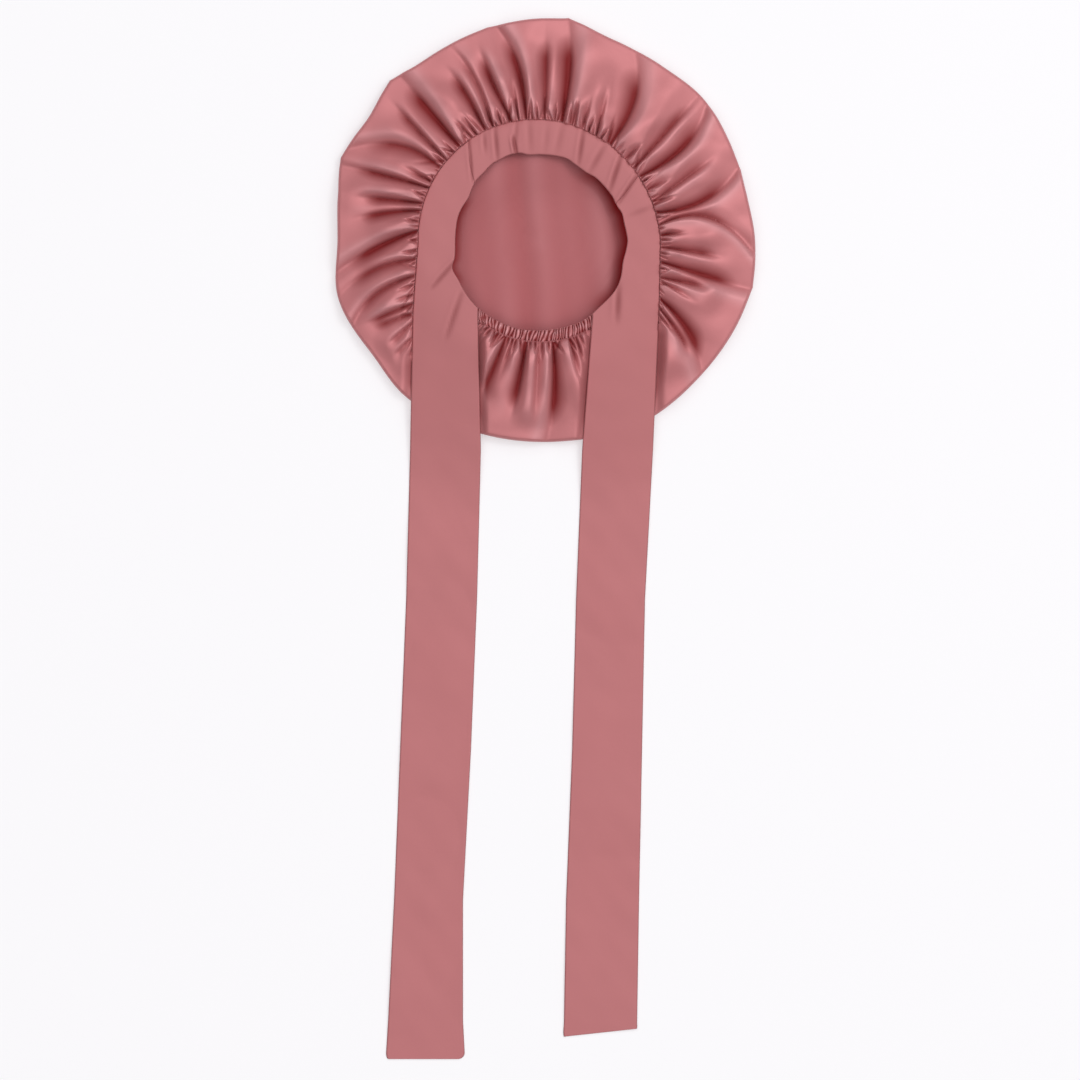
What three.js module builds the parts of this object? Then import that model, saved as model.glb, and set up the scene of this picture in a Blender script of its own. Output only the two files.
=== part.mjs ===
// Sleep bonnet, laid flat with its opening up: a gathered satin crown, a folded front band,
// a shirred elastic channel at the nape, and two long flat ties.
// Millimetres, +Z up. The origin is on the floor, under the centre of the opening.
// The crown lies on its back on z = 0, and the ties run towards -Y.
import * as THREE from "three";
import { mergeVertices } from "three/addons/utils/BufferGeometryUtils.js";

// ---- Driving dimensions ------------------------------------------------------------------
const CROWN_WALL = 1.2;
const BAND_WALL = 2.0;
const TIE_WALL = 1.6;
const ROLL_RADIUS = 4.2; // soft fold round the crown's rim
const SEAM_HEIGHT = 19.5; // top of the crown's cloth where the band is sewn on
const PLY_GAP = 0.8; // clearance between the crown and what lies on it
const SEAM_LAP = 4.5; // crown cloth that runs in under the band
const PUFF_HEIGHT = 7; // how far the gathers stand up just outside the band
const TIE_DROP = 30; // plan distance in which a tie drops from the rim to the floor
const PRESS_FLAT = 8; // margin beside a tie where the crown is still pressed flat
const PRESS_FADE = 14; // further distance in which its folds come back
const PRESS_START = -10; // the ties press the crown from here towards -Y
const PRESS_LEAD = 35;

const OPENING_RADIUS = 75.1;
const OPENING_STRETCH = 1.5; // the opening is longer front to back by this much each way
const BAND_OUTER_RADIUS = 105;
const BAND_OUTER_SHIFT = 2.5; // the band is wider on the wearer's left
const CASING_INNER_RADIUS = 77.5;
const CASING_OUTER_RADIUS = 89.5;
const CASING_HALF_THICKNESS = 1.5;
const CASING_MIDDLE_HEIGHT = 17.9;
const CASING_RIPPLE = 0.5; // shirring on the channel's outer edge
const CASING_SHIRRS = 14;

const NAPE_ANGLE = 270;
const NAPE_HALF_INNER = 37; // inside this angle from the nape the crown meets the casing
const NAPE_HALF_OUTER = 57; // outside it the crown meets the band
const SEAM_LEFT_ANGLE = 128;
const SEAM_RIGHT_ANGLE = 33;
const CASING_START_ANGLE = 226;
const CASING_END_ANGLE = 306;
const SEAM_GAP_ANGLE = 0.2;

const MERGE_DISTANCE = 1e-4;
const CROWN_COLUMNS = 100;
const CROWN_ROWS = [0, 0.07, 0.15, 0.25, 0.38, 0.53, 0.69, 0.85, 1]; // seam (0) to rim (1)
const ROLL_TURNS = [50, 10, -30, -90]; // degrees round the rim, from its top to the floor
const BASE_RING = 0.55; // share of the floor radius at which the base has a ring
const BAND_COLUMNS = 28;
const CASING_COLUMNS = 50;
const CASING_SIDES = 8;
const STRIP_POINTS_ACROSS = 5;
const SIDE_STATIONS = 8;
const WRAP_STATIONS = 14;
const DRAPE_STEP = 6; // station spacing where a tie bends over the crown and its rim
const FLAT_STEP = 60; // station spacing where it lies flat
const DRAPE_END = -240;

// The crown's outline as it lies, by angle from +X.
const RIM = [
  { deg: 0, radius: 184.3 },
  { deg: 12, radius: 181.7 },
  { deg: 24, radius: 183.0 },
  { deg: 42, radius: 186.8 },
  { deg: 54, radius: 184.3 },
  { deg: 72, radius: 186.0 },
  { deg: 83, radius: 193.0 },
  { deg: 102, radius: 190.6 },
  { deg: 124, radius: 186.4 },
  { deg: 133, radius: 189.4 },
  { deg: 144, radius: 183.4 },
  { deg: 157, radius: 186.0 },
  { deg: 167, radius: 179.4 },
  { deg: 180, radius: 175.2 },
  { deg: 195, radius: 181.0 },
  { deg: 214, radius: 174.2 },
  { deg: 228, radius: 176.5 },
  { deg: 246, radius: 173.0 },
  { deg: 275, radius: 171.8 },
  { deg: 300, radius: 177.7 },
  { deg: 320, radius: 178.8 },
  { deg: 348, radius: 185.1 },
];

// Main folds of the crown. Each valley runs from the band out to the rim: its angle at either
// end, how deep it is, its half width in degrees, and how much of its depth is left at the rim.
const FOLDS = [
  { name: "front_deep", band: 79, rim: 82.5, depth: 9, width: 3.4, left: 0.5 },
  { name: "front_right", band: 54, rim: 63, depth: 6, width: 5.5, left: 0.3 },
  { name: "right_upper", band: 33, rim: 38, depth: 6, width: 4, left: 0.2 },
  { name: "right_middle", band: 14, rim: 19, depth: 6, width: 3.6, left: 0.2 },
  { name: "right_arch", band: 7, rim: -1, depth: 4, width: 3.6, left: 0.1 },
  { name: "right_lower", band: -10, rim: -12.3, depth: 5, width: 3.4, left: 0.3 },
  { name: "right_low_pair", band: -24, rim: -38, depth: 6, width: 4, left: 0.3 },
  { name: "front_left", band: 96.5, rim: 99, depth: 6, width: 3.2, left: 0.3 },
  { name: "left_corner", band: 130, rim: 131, depth: 6, width: 3.6, left: 0.6 },
  { name: "front_left_fan", band: 116, rim: 113, depth: 5, width: 3.6, left: 0.2 },
  { name: "left_broad", band: 151, rim: 143, depth: 5, width: 4, left: 0.2 },
  { name: "left_upper", band: 162, rim: 158.5, depth: 5, width: 3.4, left: 0.3 },
  { name: "left_middle", band: 168, rim: 173, depth: 5, width: 3.2, left: 0.1 },
  { name: "left_sweep", band: 176, rim: 186, depth: 6, width: 3.6, left: 0.3 },
  { name: "left_sweep_low", band: 194, rim: 201, depth: 5, width: 3.4, left: 0.1 },
  { name: "left_low", band: 205, rim: 207, depth: 4, width: 3.4, left: 0.1 },
  { name: "nape_left", band: 257, rim: 261, depth: 5, width: 3.4, left: 0.1 },
  { name: "nape_right", band: 276, rim: 274, depth: 6, width: 3.2, left: 0.2 },
];

// Straight run of each tie: distance in front of the origin, and the tie's two edges.
const TIE_LEFT = [
  { y: -60, outer: -110.2, inner: -54.2 },
  { y: -178, outer: -112.8, inner: -51.7 },
  { y: -307, outer: -116.2, inner: -55.1 },
  { y: -436, outer: -121.4, inner: -60.3 },
  { y: -566, outer: -126.6, inner: -67.2 },
  { y: -669, outer: -131.7, inner: -67.2 },
  { y: -702.6, outer: -133.8, inner: -65.4 },
];
const TIE_RIGHT = [
  { y: -64.6, outer: 101.2, inner: 43.9 },
  { y: -178, outer: 96.4, inner: 35.3 },
  { y: -307, outer: 89.5, inner: 30.1 },
  { y: -436, outer: 87.0, inner: 26.7 },
  { y: -566, outer: 84.4, inner: 21.5 },
  { y: -669, outer: 82.7, inner: 19.8 },
  { y: -680, outer: 85.2, inner: 18.9 },
];
const TIE_LEFT_CORNERS = { inner: 6, outer: 2.5, slant: 0 };
const TIE_RIGHT_CORNERS = { inner: 1, outer: 1, slant: 6.9 };

// ---- Small maths -------------------------------------------------------------------------
const radians = THREE.MathUtils.degToRad;
const { clamp, lerp, smoothstep } = THREE.MathUtils;

function wrapDegrees(deg) {
  return ((deg % 360) + 360) % 360;
}

/** Signed shortest turn from b to a, in degrees. */
function turnBetween(a, b) {
  return wrapDegrees(a - b + 180) - 180;
}

/** Value of a closed table of angles at one angle, smooth through its rows. */
function closedTable(rows, deg) {
  const angle = wrapDegrees(deg);
  let next = rows.findIndex((row) => row.deg > angle);
  if (next < 0) next = rows.length;
  const at = (k) => rows[(k + rows.length) % rows.length];
  const start = at(next - 1);
  const end = at(next);
  const span = wrapDegrees(end.deg - start.deg) || 360;
  const t = wrapDegrees(angle - start.deg) / span;
  const slope = (k) => {
    const before = at(k - 1);
    const after = at(k + 1);
    return (after.radius - before.radius) / wrapDegrees(after.deg - before.deg);
  };
  const t2 = t * t;
  const t3 = t2 * t;
  return (
    (2 * t3 - 3 * t2 + 1) * start.radius +
    (t3 - 2 * t2 + t) * span * slope(next - 1) +
    (3 * t2 - 2 * t3) * end.radius +
    (t3 - t2) * span * slope(next)
  );
}

/** Edge of a tie at a given y, straight between the rows of its table. */
function tieEdge(rows, key, y) {
  let k = rows.findIndex((row) => row.y <= y);
  if (k < 0) k = rows.length - 1;
  k = clamp(k, 1, rows.length - 1);
  const t = clamp((rows[k - 1].y - y) / (rows[k - 1].y - rows[k].y), 0, 1);
  return lerp(rows[k - 1][key], rows[k][key], t);
}

// ---- Faces -------------------------------------------------------------------------------
/** Adds the two triangles of a four-sided face, its corners in order seen from outside. */
function addQuad(triangles, a, b, c, d) {
  triangles.push(a, b, c, a, c, d);
}

/** Closed geometry from a list of corner points, three to a triangle. */
function solidFrom(points) {
  const geometry = new THREE.BufferGeometry().setFromPoints(points);
  return mergeVertices(geometry, MERGE_DISTANCE);
}

// ---- Plan shape --------------------------------------------------------------------------
const rimRadius = (deg) => closedTable(RIM, deg);
const openingRadius = (deg) => OPENING_RADIUS - OPENING_STRETCH * Math.cos(2 * radians(deg));
const bandOuterRadius = (deg) => BAND_OUTER_RADIUS - BAND_OUTER_SHIFT * Math.cos(radians(deg));

/** 1 where the crown meets the nape casing, 0 where it meets the band. */
function napeShare(deg) {
  const away = Math.abs(turnBetween(deg, NAPE_ANGLE));
  return 1 - smoothstep(away, NAPE_HALF_INNER, NAPE_HALF_OUTER);
}

const crownInnerRadius = (deg) =>
  lerp(bandOuterRadius(deg) - SEAM_LAP, CASING_OUTER_RADIUS + 0.4, napeShare(deg));

/** Height of the underside of anything that lies on the crown or hangs off its rim. */
function lyingHeight(radius, deg) {
  const rim = rimRadius(deg);
  const seam = bandOuterRadius(deg);
  const top = SEAM_HEIGHT + PLY_GAP;
  const rimTop = 2 * ROLL_RADIUS + PLY_GAP;
  const rollStart = rim - ROLL_RADIUS;
  if (radius <= rollStart) {
    return lerp(top, rimTop, clamp((radius - seam) / (rollStart - seam), 0, 1));
  }
  return rimTop * (1 - smoothstep(radius, rollStart, rim + TIE_DROP));
}

/** 1 under a tie, 0 clear of it. */
function tiePress(x, y) {
  let press = 0;
  for (const rows of [TIE_LEFT, TIE_RIGHT]) {
    const a = tieEdge(rows, "outer", y);
    const b = tieEdge(rows, "inner", y);
    const outside = Math.max(Math.min(a, b) - x, x - Math.max(a, b));
    const here = 1 - smoothstep(outside, PRESS_FLAT, PRESS_FLAT + PRESS_FADE);
    press = Math.max(press, here);
  }
  return press * (1 - smoothstep(y, PRESS_START, PRESS_START + PRESS_LEAD));
}

// ---- Crown -------------------------------------------------------------------------------
/** How much of a fold's depth shows, from the seam (0) to the rim (1). */
const foldReach = (fold, t) => smoothstep(t, 0, 0.12) * lerp(1, fold.left, smoothstep(t, 0.45, 1));

/** Height of the crown's outer face between its seam (t = 0) and its rim (t = 1). */
function crownHeight(radius, deg, t) {
  const pressed = lyingHeight(radius, deg) - PLY_GAP;
  const x = radius * Math.cos(radians(deg));
  const y = radius * Math.sin(radians(deg));
  const free = 1 - tiePress(x, y);
  let lift = PUFF_HEIGHT * smoothstep(t, 0.0, 0.16) * (1 - smoothstep(t, 0.3, 1));
  for (const fold of FOLDS) {
    const middle = lerp(fold.band, fold.rim, t);
    const off = turnBetween(deg, middle) / fold.width;
    lift -= fold.depth * foldReach(fold, t) * Math.exp(-off * off);
  }
  const cap = 1 - smoothstep(t, 0.85, 1);
  return pressed + lift * free * cap;
}

/** One column of the crown's outer face, from its inner edge over the rim to the floor. */
function crownColumn(deg) {
  const rim = rimRadius(deg);
  const inner = crownInnerRadius(deg);
  const seam = inner + SEAM_LAP + 0.8;
  const rollStart = rim - ROLL_RADIUS;
  const points = [{ radius: inner, z: SEAM_HEIGHT }];
  for (const t of CROWN_ROWS) {
    const radius = lerp(seam, rollStart, t);
    points.push({ radius, z: crownHeight(radius, deg, t) });
  }
  for (const turn of ROLL_TURNS) {
    points.push({
      radius: rollStart + ROLL_RADIUS * Math.cos(radians(turn)),
      z: ROLL_RADIUS + ROLL_RADIUS * Math.sin(radians(turn)),
    });
  }
  points.push({ radius: rollStart * BASE_RING, z: 0 });
  return points;
}

/** Smooth normals of a grid of points that closes round and ends in a pole. */
function gridNormals(grid) {
  const columns = grid.length;
  return grid.map((column, j) =>
    column.map((point, i) => {
      const left = grid[(j + columns - 1) % columns][i];
      const right = grid[(j + 1) % columns][i];
      const before = column[Math.max(i - 1, 0)];
      const after = column[Math.min(i + 1, column.length - 1)];
      const round = new THREE.Vector3().subVectors(right, left);
      const along = new THREE.Vector3().subVectors(after, before);
      return along.cross(round).normalize();
    })
  );
}

/** A thin cloth wall with one hole: outer skin, inner skin, and the hem that joins them. */
function crownGeometry() {
  const outer = [];
  for (let j = 0; j < CROWN_COLUMNS; j += 1) {
    const deg = (j * 360) / CROWN_COLUMNS;
    outer.push(
      crownColumn(deg).map(
        ({ radius, z }) =>
          new THREE.Vector3(radius * Math.cos(radians(deg)), radius * Math.sin(radians(deg)), z)
      )
    );
  }
  const normals = gridNormals(outer);
  const lastRow = outer[0].length - 1;
  const inner = outer.map((column, j) =>
    column.map((point, i) => {
      const normal = i >= lastRow - 1 ? new THREE.Vector3(0, 0, -1) : normals[j][i];
      return point.clone().addScaledVector(normal, -CROWN_WALL);
    })
  );
  const triangles = [];
  const pole = (z) => new THREE.Vector3(0, 0, z);
  for (let j = 0; j < CROWN_COLUMNS; j += 1) {
    const n = (j + 1) % CROWN_COLUMNS;
    for (let i = 0; i < lastRow; i += 1) {
      addQuad(triangles, outer[j][i], outer[j][i + 1], outer[n][i + 1], outer[n][i]);
      addQuad(triangles, inner[n][i], inner[n][i + 1], inner[j][i + 1], inner[j][i]);
    }
    triangles.push(outer[j][lastRow], pole(0), outer[n][lastRow]);
    triangles.push(inner[n][lastRow], pole(CROWN_WALL), inner[j][lastRow]);
    addQuad(triangles, outer[n][0], inner[n][0], inner[j][0], outer[j][0]);
  }
  return solidFrom(triangles);
}

// ---- Flat strips: band and ties ----------------------------------------------------------
/** A strip of even thickness. Each station is a row of points across its underside. */
function stripGeometry(stations, thickness) {
  const up = new THREE.Vector3(0, 0, thickness);
  const under = stations;
  const over = under.map((row) => row.map((point) => point.clone().add(up)));
  const triangles = [];
  const last = under[0].length - 1;
  for (let k = 0; k + 1 < under.length; k += 1) {
    for (let m = 0; m < last; m += 1) {
      addQuad(triangles, over[k][m], over[k + 1][m], over[k + 1][m + 1], over[k][m + 1]);
      addQuad(triangles, under[k][m + 1], under[k + 1][m + 1], under[k + 1][m], under[k][m]);
    }
    addQuad(triangles, under[k][0], under[k + 1][0], over[k + 1][0], over[k][0]);
    addQuad(triangles, over[k][last], over[k + 1][last], under[k + 1][last], under[k][last]);
  }
  const end = under.length - 1;
  for (let m = 0; m < last; m += 1) {
    addQuad(triangles, under[0][m], over[0][m], over[0][m + 1], under[0][m + 1]);
    addQuad(triangles, under[end][m + 1], over[end][m + 1], over[end][m], under[end][m]);
  }
  return solidFrom(triangles);
}

/** Points across a strip, from its outer edge to its inner one, laid on what is below. */
function layAcross(outer, inner) {
  const row = [];
  for (let m = 0; m < STRIP_POINTS_ACROSS; m += 1) {
    const t = m / (STRIP_POINTS_ACROSS - 1);
    const x = lerp(outer.x, inner.x, t);
    const y = lerp(outer.y, inner.y, t);
    const radius = Math.hypot(x, y);
    const deg = THREE.MathUtils.radToDeg(Math.atan2(y, x));
    row.push(new THREE.Vector3(x, y, lyingHeight(radius, deg)));
  }
  return row;
}

function ringPoint(radius, deg) {
  return { x: radius * Math.cos(radians(deg)), y: radius * Math.sin(radians(deg)) };
}

/** A row across the band at one angle. */
function bandStation(deg) {
  return layAcross(ringPoint(bandOuterRadius(deg), deg), ringPoint(openingRadius(deg), deg));
}

function bandGeometry() {
  const stations = [];
  for (let k = 0; k <= BAND_COLUMNS; k += 1) {
    const first = SEAM_RIGHT_ANGLE + SEAM_GAP_ANGLE;
    const last = SEAM_LEFT_ANGLE - SEAM_GAP_ANGLE;
    stations.push(bandStation(lerp(first, last, k / BAND_COLUMNS)));
  }
  return stripGeometry(stations, BAND_WALL);
}

/** A tie: the sewn part beside the opening, then the straight run over the rim to its end. */
function tieGeometry(rows, corners, seamAngle, sideAngle, leaveAngle) {
  const stations = [];
  for (let k = 0; k < SIDE_STATIONS; k += 1) {
    stations.push(bandStation(lerp(seamAngle, sideAngle, k / SIDE_STATIONS)));
  }
  for (let k = 0; k < WRAP_STATIONS; k += 1) {
    const t = k / WRAP_STATIONS;
    const deg = lerp(sideAngle, leaveAngle, t);
    const inner = ringPoint(openingRadius(deg), deg);
    const y = rows[0].y * t;
    const outerX = lerp(ringPoint(bandOuterRadius(sideAngle), sideAngle).x, rows[0].outer, t);
    stations.push(layAcross({ x: outerX, y }, inner));
  }
  const endY = rows[rows.length - 1].y;
  const steps = [];
  for (let y = rows[0].y; y > DRAPE_END; y -= DRAPE_STEP) steps.push(y);
  for (let y = DRAPE_END; y > endY + FLAT_STEP / 2; y -= FLAT_STEP) steps.push(y);
  const cornerSize = Math.max(corners.inner, corners.outer);
  steps.push(endY + cornerSize);
  const slantAt = (x) => {
    const last = rows[rows.length - 1];
    return corners.slant * ((x - last.inner) / (last.outer - last.inner) - 0.5);
  };
  for (const y of steps) {
    const share = smoothstep(-y, -endY - 120, -endY);
    const outer = tieEdge(rows, "outer", y);
    const inner = tieEdge(rows, "inner", y);
    stations.push(
      layAcross({ x: outer, y: y + share * slantAt(outer) }, { x: inner, y: y + share * slantAt(inner) })
    );
  }
  for (const turn of [30, 60, 90]) {
    const away = 1 - Math.cos(radians(turn));
    const along = Math.sin(radians(turn));
    const side = Math.sign(rows[0].outer);
    const y = endY + cornerSize * (1 - along);
    const outer = tieEdge(rows, "outer", y) - side * corners.outer * away;
    const inner = tieEdge(rows, "inner", y) + side * corners.inner * away;
    stations.push(layAcross({ x: outer, y: y + slantAt(outer) }, { x: inner, y: y + slantAt(inner) }));
  }
  const clockwise = Math.sign(rows[0].outer) > 0;
  return stripGeometry(clockwise ? stations.map((row) => row.reverse()) : stations, TIE_WALL);
}

// ---- Nape casing -------------------------------------------------------------------------
function casingGeometry() {
  const rings = [];
  for (let k = 0; k <= CASING_COLUMNS; k += 1) {
    const t = k / CASING_COLUMNS;
    const deg = lerp(CASING_START_ANGLE, CASING_END_ANGLE, t);
    const shirr = Math.cos(2 * Math.PI * CASING_SHIRRS * t);
    const half = (CASING_OUTER_RADIUS - CASING_INNER_RADIUS) / 2 - (CASING_RIPPLE * (1 - shirr)) / 2;
    const middle = (CASING_OUTER_RADIUS + CASING_INNER_RADIUS) / 2;
    const ring = [];
    for (let m = 0; m < CASING_SIDES; m += 1) {
      const turn = (2 * Math.PI * (m + 0.5)) / CASING_SIDES;
      const radius = middle + half * clamp(1.35 * Math.cos(turn), -1, 1);
      const z = CASING_MIDDLE_HEIGHT + CASING_HALF_THICKNESS * clamp(1.3 * Math.sin(turn), -1, 1);
      const place = ringPoint(radius, deg);
      ring.push(new THREE.Vector3(place.x, place.y, z));
    }
    rings.push(ring);
  }
  const triangles = [];
  for (let k = 0; k < CASING_COLUMNS; k += 1) {
    for (let m = 0; m < CASING_SIDES; m += 1) {
      const n = (m + 1) % CASING_SIDES;
      addQuad(triangles, rings[k][m], rings[k + 1][m], rings[k + 1][n], rings[k][n]);
    }
  }
  for (let m = 1; m + 1 < CASING_SIDES; m += 1) {
    triangles.push(rings[0][0], rings[0][m], rings[0][m + 1]);
    const end = rings[CASING_COLUMNS];
    triangles.push(end[0], end[m + 1], end[m]);
  }
  return solidFrom(triangles);
}

// ---- Assembly ----------------------------------------------------------------------------
const group = new THREE.Group();

function addPiece(name, geometry, color, roughness) {
  const material = new THREE.MeshStandardMaterial({ color, roughness, metalness: 0 });
  geometry.computeVertexNormals();
  const mesh = new THREE.Mesh(geometry, material);
  mesh.name = name;
  group.add(mesh);
}

const LEFT_SIDE = { seam: SEAM_LEFT_ANGLE + SEAM_GAP_ANGLE, side: 180, leave: 227.6 };
const RIGHT_SIDE = { seam: SEAM_RIGHT_ANGLE - SEAM_GAP_ANGLE, side: 0, leave: -55.8 };

addPiece("crown", crownGeometry(), 0xc87f80, 0.42);
addPiece("front_band", bandGeometry(), 0xba7274, 0.5);
addPiece("nape_casing", casingGeometry(), 0xb96f71, 0.5);
addPiece(
  "tie_left",
  tieGeometry(TIE_LEFT, TIE_LEFT_CORNERS, LEFT_SIDE.seam, LEFT_SIDE.side, LEFT_SIDE.leave),
  0xb97173,
  0.5
);
addPiece(
  "tie_right",
  tieGeometry(TIE_RIGHT, TIE_RIGHT_CORNERS, RIGHT_SIDE.seam, RIGHT_SIDE.side, RIGHT_SIDE.leave),
  0xb97173,
  0.5
);

export default group;
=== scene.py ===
import logging
import math
from dataclasses import dataclass, field
from enum import Enum

import bpy
import numpy as np
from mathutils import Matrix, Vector


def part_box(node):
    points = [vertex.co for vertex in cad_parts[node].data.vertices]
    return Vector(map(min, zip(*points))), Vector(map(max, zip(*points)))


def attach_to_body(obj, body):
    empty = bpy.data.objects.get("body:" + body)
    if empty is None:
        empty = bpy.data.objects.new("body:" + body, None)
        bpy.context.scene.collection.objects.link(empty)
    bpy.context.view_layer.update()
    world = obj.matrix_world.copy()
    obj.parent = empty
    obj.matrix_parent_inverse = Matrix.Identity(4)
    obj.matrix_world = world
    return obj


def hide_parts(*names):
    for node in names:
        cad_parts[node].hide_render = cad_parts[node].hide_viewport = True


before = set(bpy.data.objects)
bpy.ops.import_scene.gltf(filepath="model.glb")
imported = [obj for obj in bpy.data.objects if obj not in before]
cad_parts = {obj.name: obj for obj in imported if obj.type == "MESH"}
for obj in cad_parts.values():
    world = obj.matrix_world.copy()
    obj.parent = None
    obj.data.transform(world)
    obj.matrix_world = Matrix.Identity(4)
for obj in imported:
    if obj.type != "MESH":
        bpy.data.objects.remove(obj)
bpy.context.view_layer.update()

MM = 0.001
LOG = logging.getLogger("sleep_bonnet")
Array = np.ndarray


# ---- Plain maths -------------------------------------------------------------------------
def smooth(value: Array | float, low: float, high: float) -> Array:
    """Smooth step from 0 at low to 1 at high.

    Args:
        value: where to read it.
        low: value at which it starts to leave 0.
        high: value at which it reaches 1.

    Returns:
        The step, from 0 to 1.
    """
    t = np.clip((np.asarray(value, float) - low) / (high - low), 0.0, 1.0)
    return t * t * (3.0 - 2.0 * t)


def mix(a: Array | float, b: Array | float, share: Array | float) -> Array | float:
    """Straight blend from a to b."""
    return a + (b - a) * share


def turn_between(a: Array | float, b: Array | float) -> Array:
    """Signed shortest turn from b to a, in degrees."""
    return (np.asarray(a, float) - b + 180.0) % 360.0 - 180.0


def on_circle(radius: Array | float, deg: Array | float) -> tuple[Array, Array]:
    """x and y of plan points, from their radius and their angle in degrees."""
    turn = np.radians(deg)
    return radius * np.cos(turn), radius * np.sin(turn)


def spline(value: Array, places: Array, heights: Array) -> Array:
    """Smooth curve through a table.

    Args:
        value: where to read it.
        places: the table's places, rising.
        heights: the table's heights at those places.

    Returns:
        The curve's heights.
    """
    k = np.clip(np.searchsorted(places, value) - 1, 0, len(places) - 2)
    slope = np.gradient(heights, places)
    span = places[k + 1] - places[k]
    t = np.clip((value - places[k]) / span, 0.0, 1.0)
    near = heights[k] * (1 + 2 * t) * (1 - t) ** 2 + slope[k] * span * t * (1 - t) ** 2
    return near + heights[k + 1] * (3 - 2 * t) * t**2 + slope[k + 1] * span * (t - 1) * t**2


def waves(x: Array, y: Array, length: float, seed: int, count: int = 9) -> Array:
    """Soft uneven waves over a plane.

    Args:
        x: first coordinate.
        y: second coordinate.
        length: typical distance between crests, in the units of x and y.
        seed: seed of the waves' directions and offsets.
        count: how many plain waves are added up.

    Returns:
        Heights of about -1 to 1.
    """
    draw = np.random.default_rng(seed)
    total = np.zeros(np.broadcast(x, y).shape)
    for _ in range(count):
        turn, phase = draw.uniform(0, 2 * math.pi, 2)
        pace = 2 * math.pi / (length * draw.uniform(0.7, 1.6))
        total += np.sin((x * math.cos(turn) + y * math.sin(turn)) * pace + phase)
    return total / math.sqrt(count)


@dataclass(frozen=True)
class Ripple:
    """Soft uneven waves of one height and length, drawn from a seed."""

    height: float
    length: float
    seed: int

    def at(self, x: Array, y: Array) -> Array:
        """Heights at points of the plan."""
        return self.height * waves(x, y, self.length, self.seed)


# ---- Mesh helpers ------------------------------------------------------------------------
@dataclass
class Cloth:
    """A cloth surface under construction: its points in millimetres, their painted shade and highlight, its
    faces and their finish.
    """

    name: str
    points: list[Array] = field(default_factory=list)
    painted_light: list[Array] = field(default_factory=list)
    faces: list[tuple[int, ...]] = field(default_factory=list)
    slots: list[int] = field(default_factory=list)
    count: int = 0

    def ring(self, points: Array, shade: Array | float = 0.0) -> Array:
        """Adds a row of points.

        Args:
            points: n rows of x, y and z.
            shade: the painted shade of each point, from 0 to 1, and below 0 its painted highlight.

        Returns:
            The numbers of the new points.
        """
        self.points.append(np.asarray(points, float))
        self.painted_light.append(np.broadcast_to(shade, (len(points),)))
        numbers = np.arange(self.count, self.count + len(points))
        self.count += len(points)
        return numbers

    def bridge(self, a: Array, b: Array, slot: int = 0, closed: bool = True) -> None:
        """Joins two rows by faces. Closed rows may have twice or half as many points.

        Args:
            a: numbers of the first row.
            b: numbers of the second row.
            slot: material slot of the new faces.
            closed: whether the rows close on themselves.
        """
        if len(a) == len(b):
            last = len(a) if closed else len(a) - 1
            k = np.arange(last)
            n = (k + 1) % len(a)
            quads = np.stack([a[k], b[k], b[n], a[n]], axis=1)
            self.faces.extend(map(tuple, quads.tolist()))
            self.slots.extend([slot] * last)
            return
        fine, coarse = (a, b) if len(a) > len(b) else (b, a)
        for k in range(len(coarse)):
            n = (k + 1) % len(coarse)
            p, q, r = fine[2 * k], fine[2 * k + 1], fine[(2 * k + 2) % len(fine)]
            trio = [(p, coarse[k], q), (q, coarse[k], coarse[n]), (q, coarse[n], r)]
            if fine is b:
                trio = [face[::-1] for face in trio]
            self.faces.extend([tuple(int(v) for v in face) for face in trio])
            self.slots.extend([slot] * 3)

    def cap(self, row: Array, centre: Array, slot: int = 0) -> None:
        """Closes a ring with a fan to one point.

        Args:
            row: numbers of the ring's points.
            centre: x, y and z of the point in the middle.
            slot: material slot of the new faces.
        """
        middle = int(self.ring(np.asarray([centre]))[0])
        for k in range(len(row)):
            self.faces.append((int(row[k]), middle, int(row[(k + 1) % len(row)])))
            self.slots.append(slot)

    def skin(self, rows: list[Array], slot: int = 0, closed: bool = True, flip: bool = False) -> None:
        """Joins each row to the next.

        Args:
            rows: numbers of the points, row by row.
            slot: material slot of the new faces.
            closed: whether the rows close on themselves.
            flip: whether the faces look the other way.
        """
        for a, b in zip(rows, rows[1:]):
            self.bridge(*((b, a) if flip else (a, b)), slot, closed)

    def end(self, row: Array) -> None:
        """Closes a row with one face in the first slot."""
        self.faces.append(tuple(int(k) for k in row))
        self.slots.append(0)

    def make(self, materials: list[bpy.types.Material]) -> bpy.types.Object:
        """Turns the surface into a Blender object at the origin.

        Args:
            materials: one for each slot.

        Returns:
            The new object, smooth shaded.
        """
        mesh = bpy.data.meshes.new(self.name)
        mesh.from_pydata((np.concatenate(self.points) * MM).tolist(), [], self.faces)
        for material in materials:
            mesh.materials.append(material)
        mesh.polygons.foreach_set("material_index", self.slots)
        mesh.polygons.foreach_set("use_smooth", [True] * len(mesh.polygons))
        # Each point's painted shade, and below 0 its painted highlight, stored for the material.
        depth = mesh.attributes.new("painted_shade_and_highlight", "FLOAT", "POINT")
        depth.data.foreach_set("value", np.concatenate(self.painted_light).astype(np.float32))
        mesh.update()
        piece = bpy.data.objects.new(self.name, mesh)
        bpy.context.scene.collection.objects.link(piece)
        return piece


# ---- Plan: the sizes that the pieces share ----------------------------------------------
class Side(Enum):
    """Which tie, as seen from above with the ties pointing down."""

    LEFT = "tie_left"
    RIGHT = "tie_right"

    @property
    def sign(self) -> int:
        """-1 on the left, 1 on the right."""
        return -1 if self is Side.LEFT else 1


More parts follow.
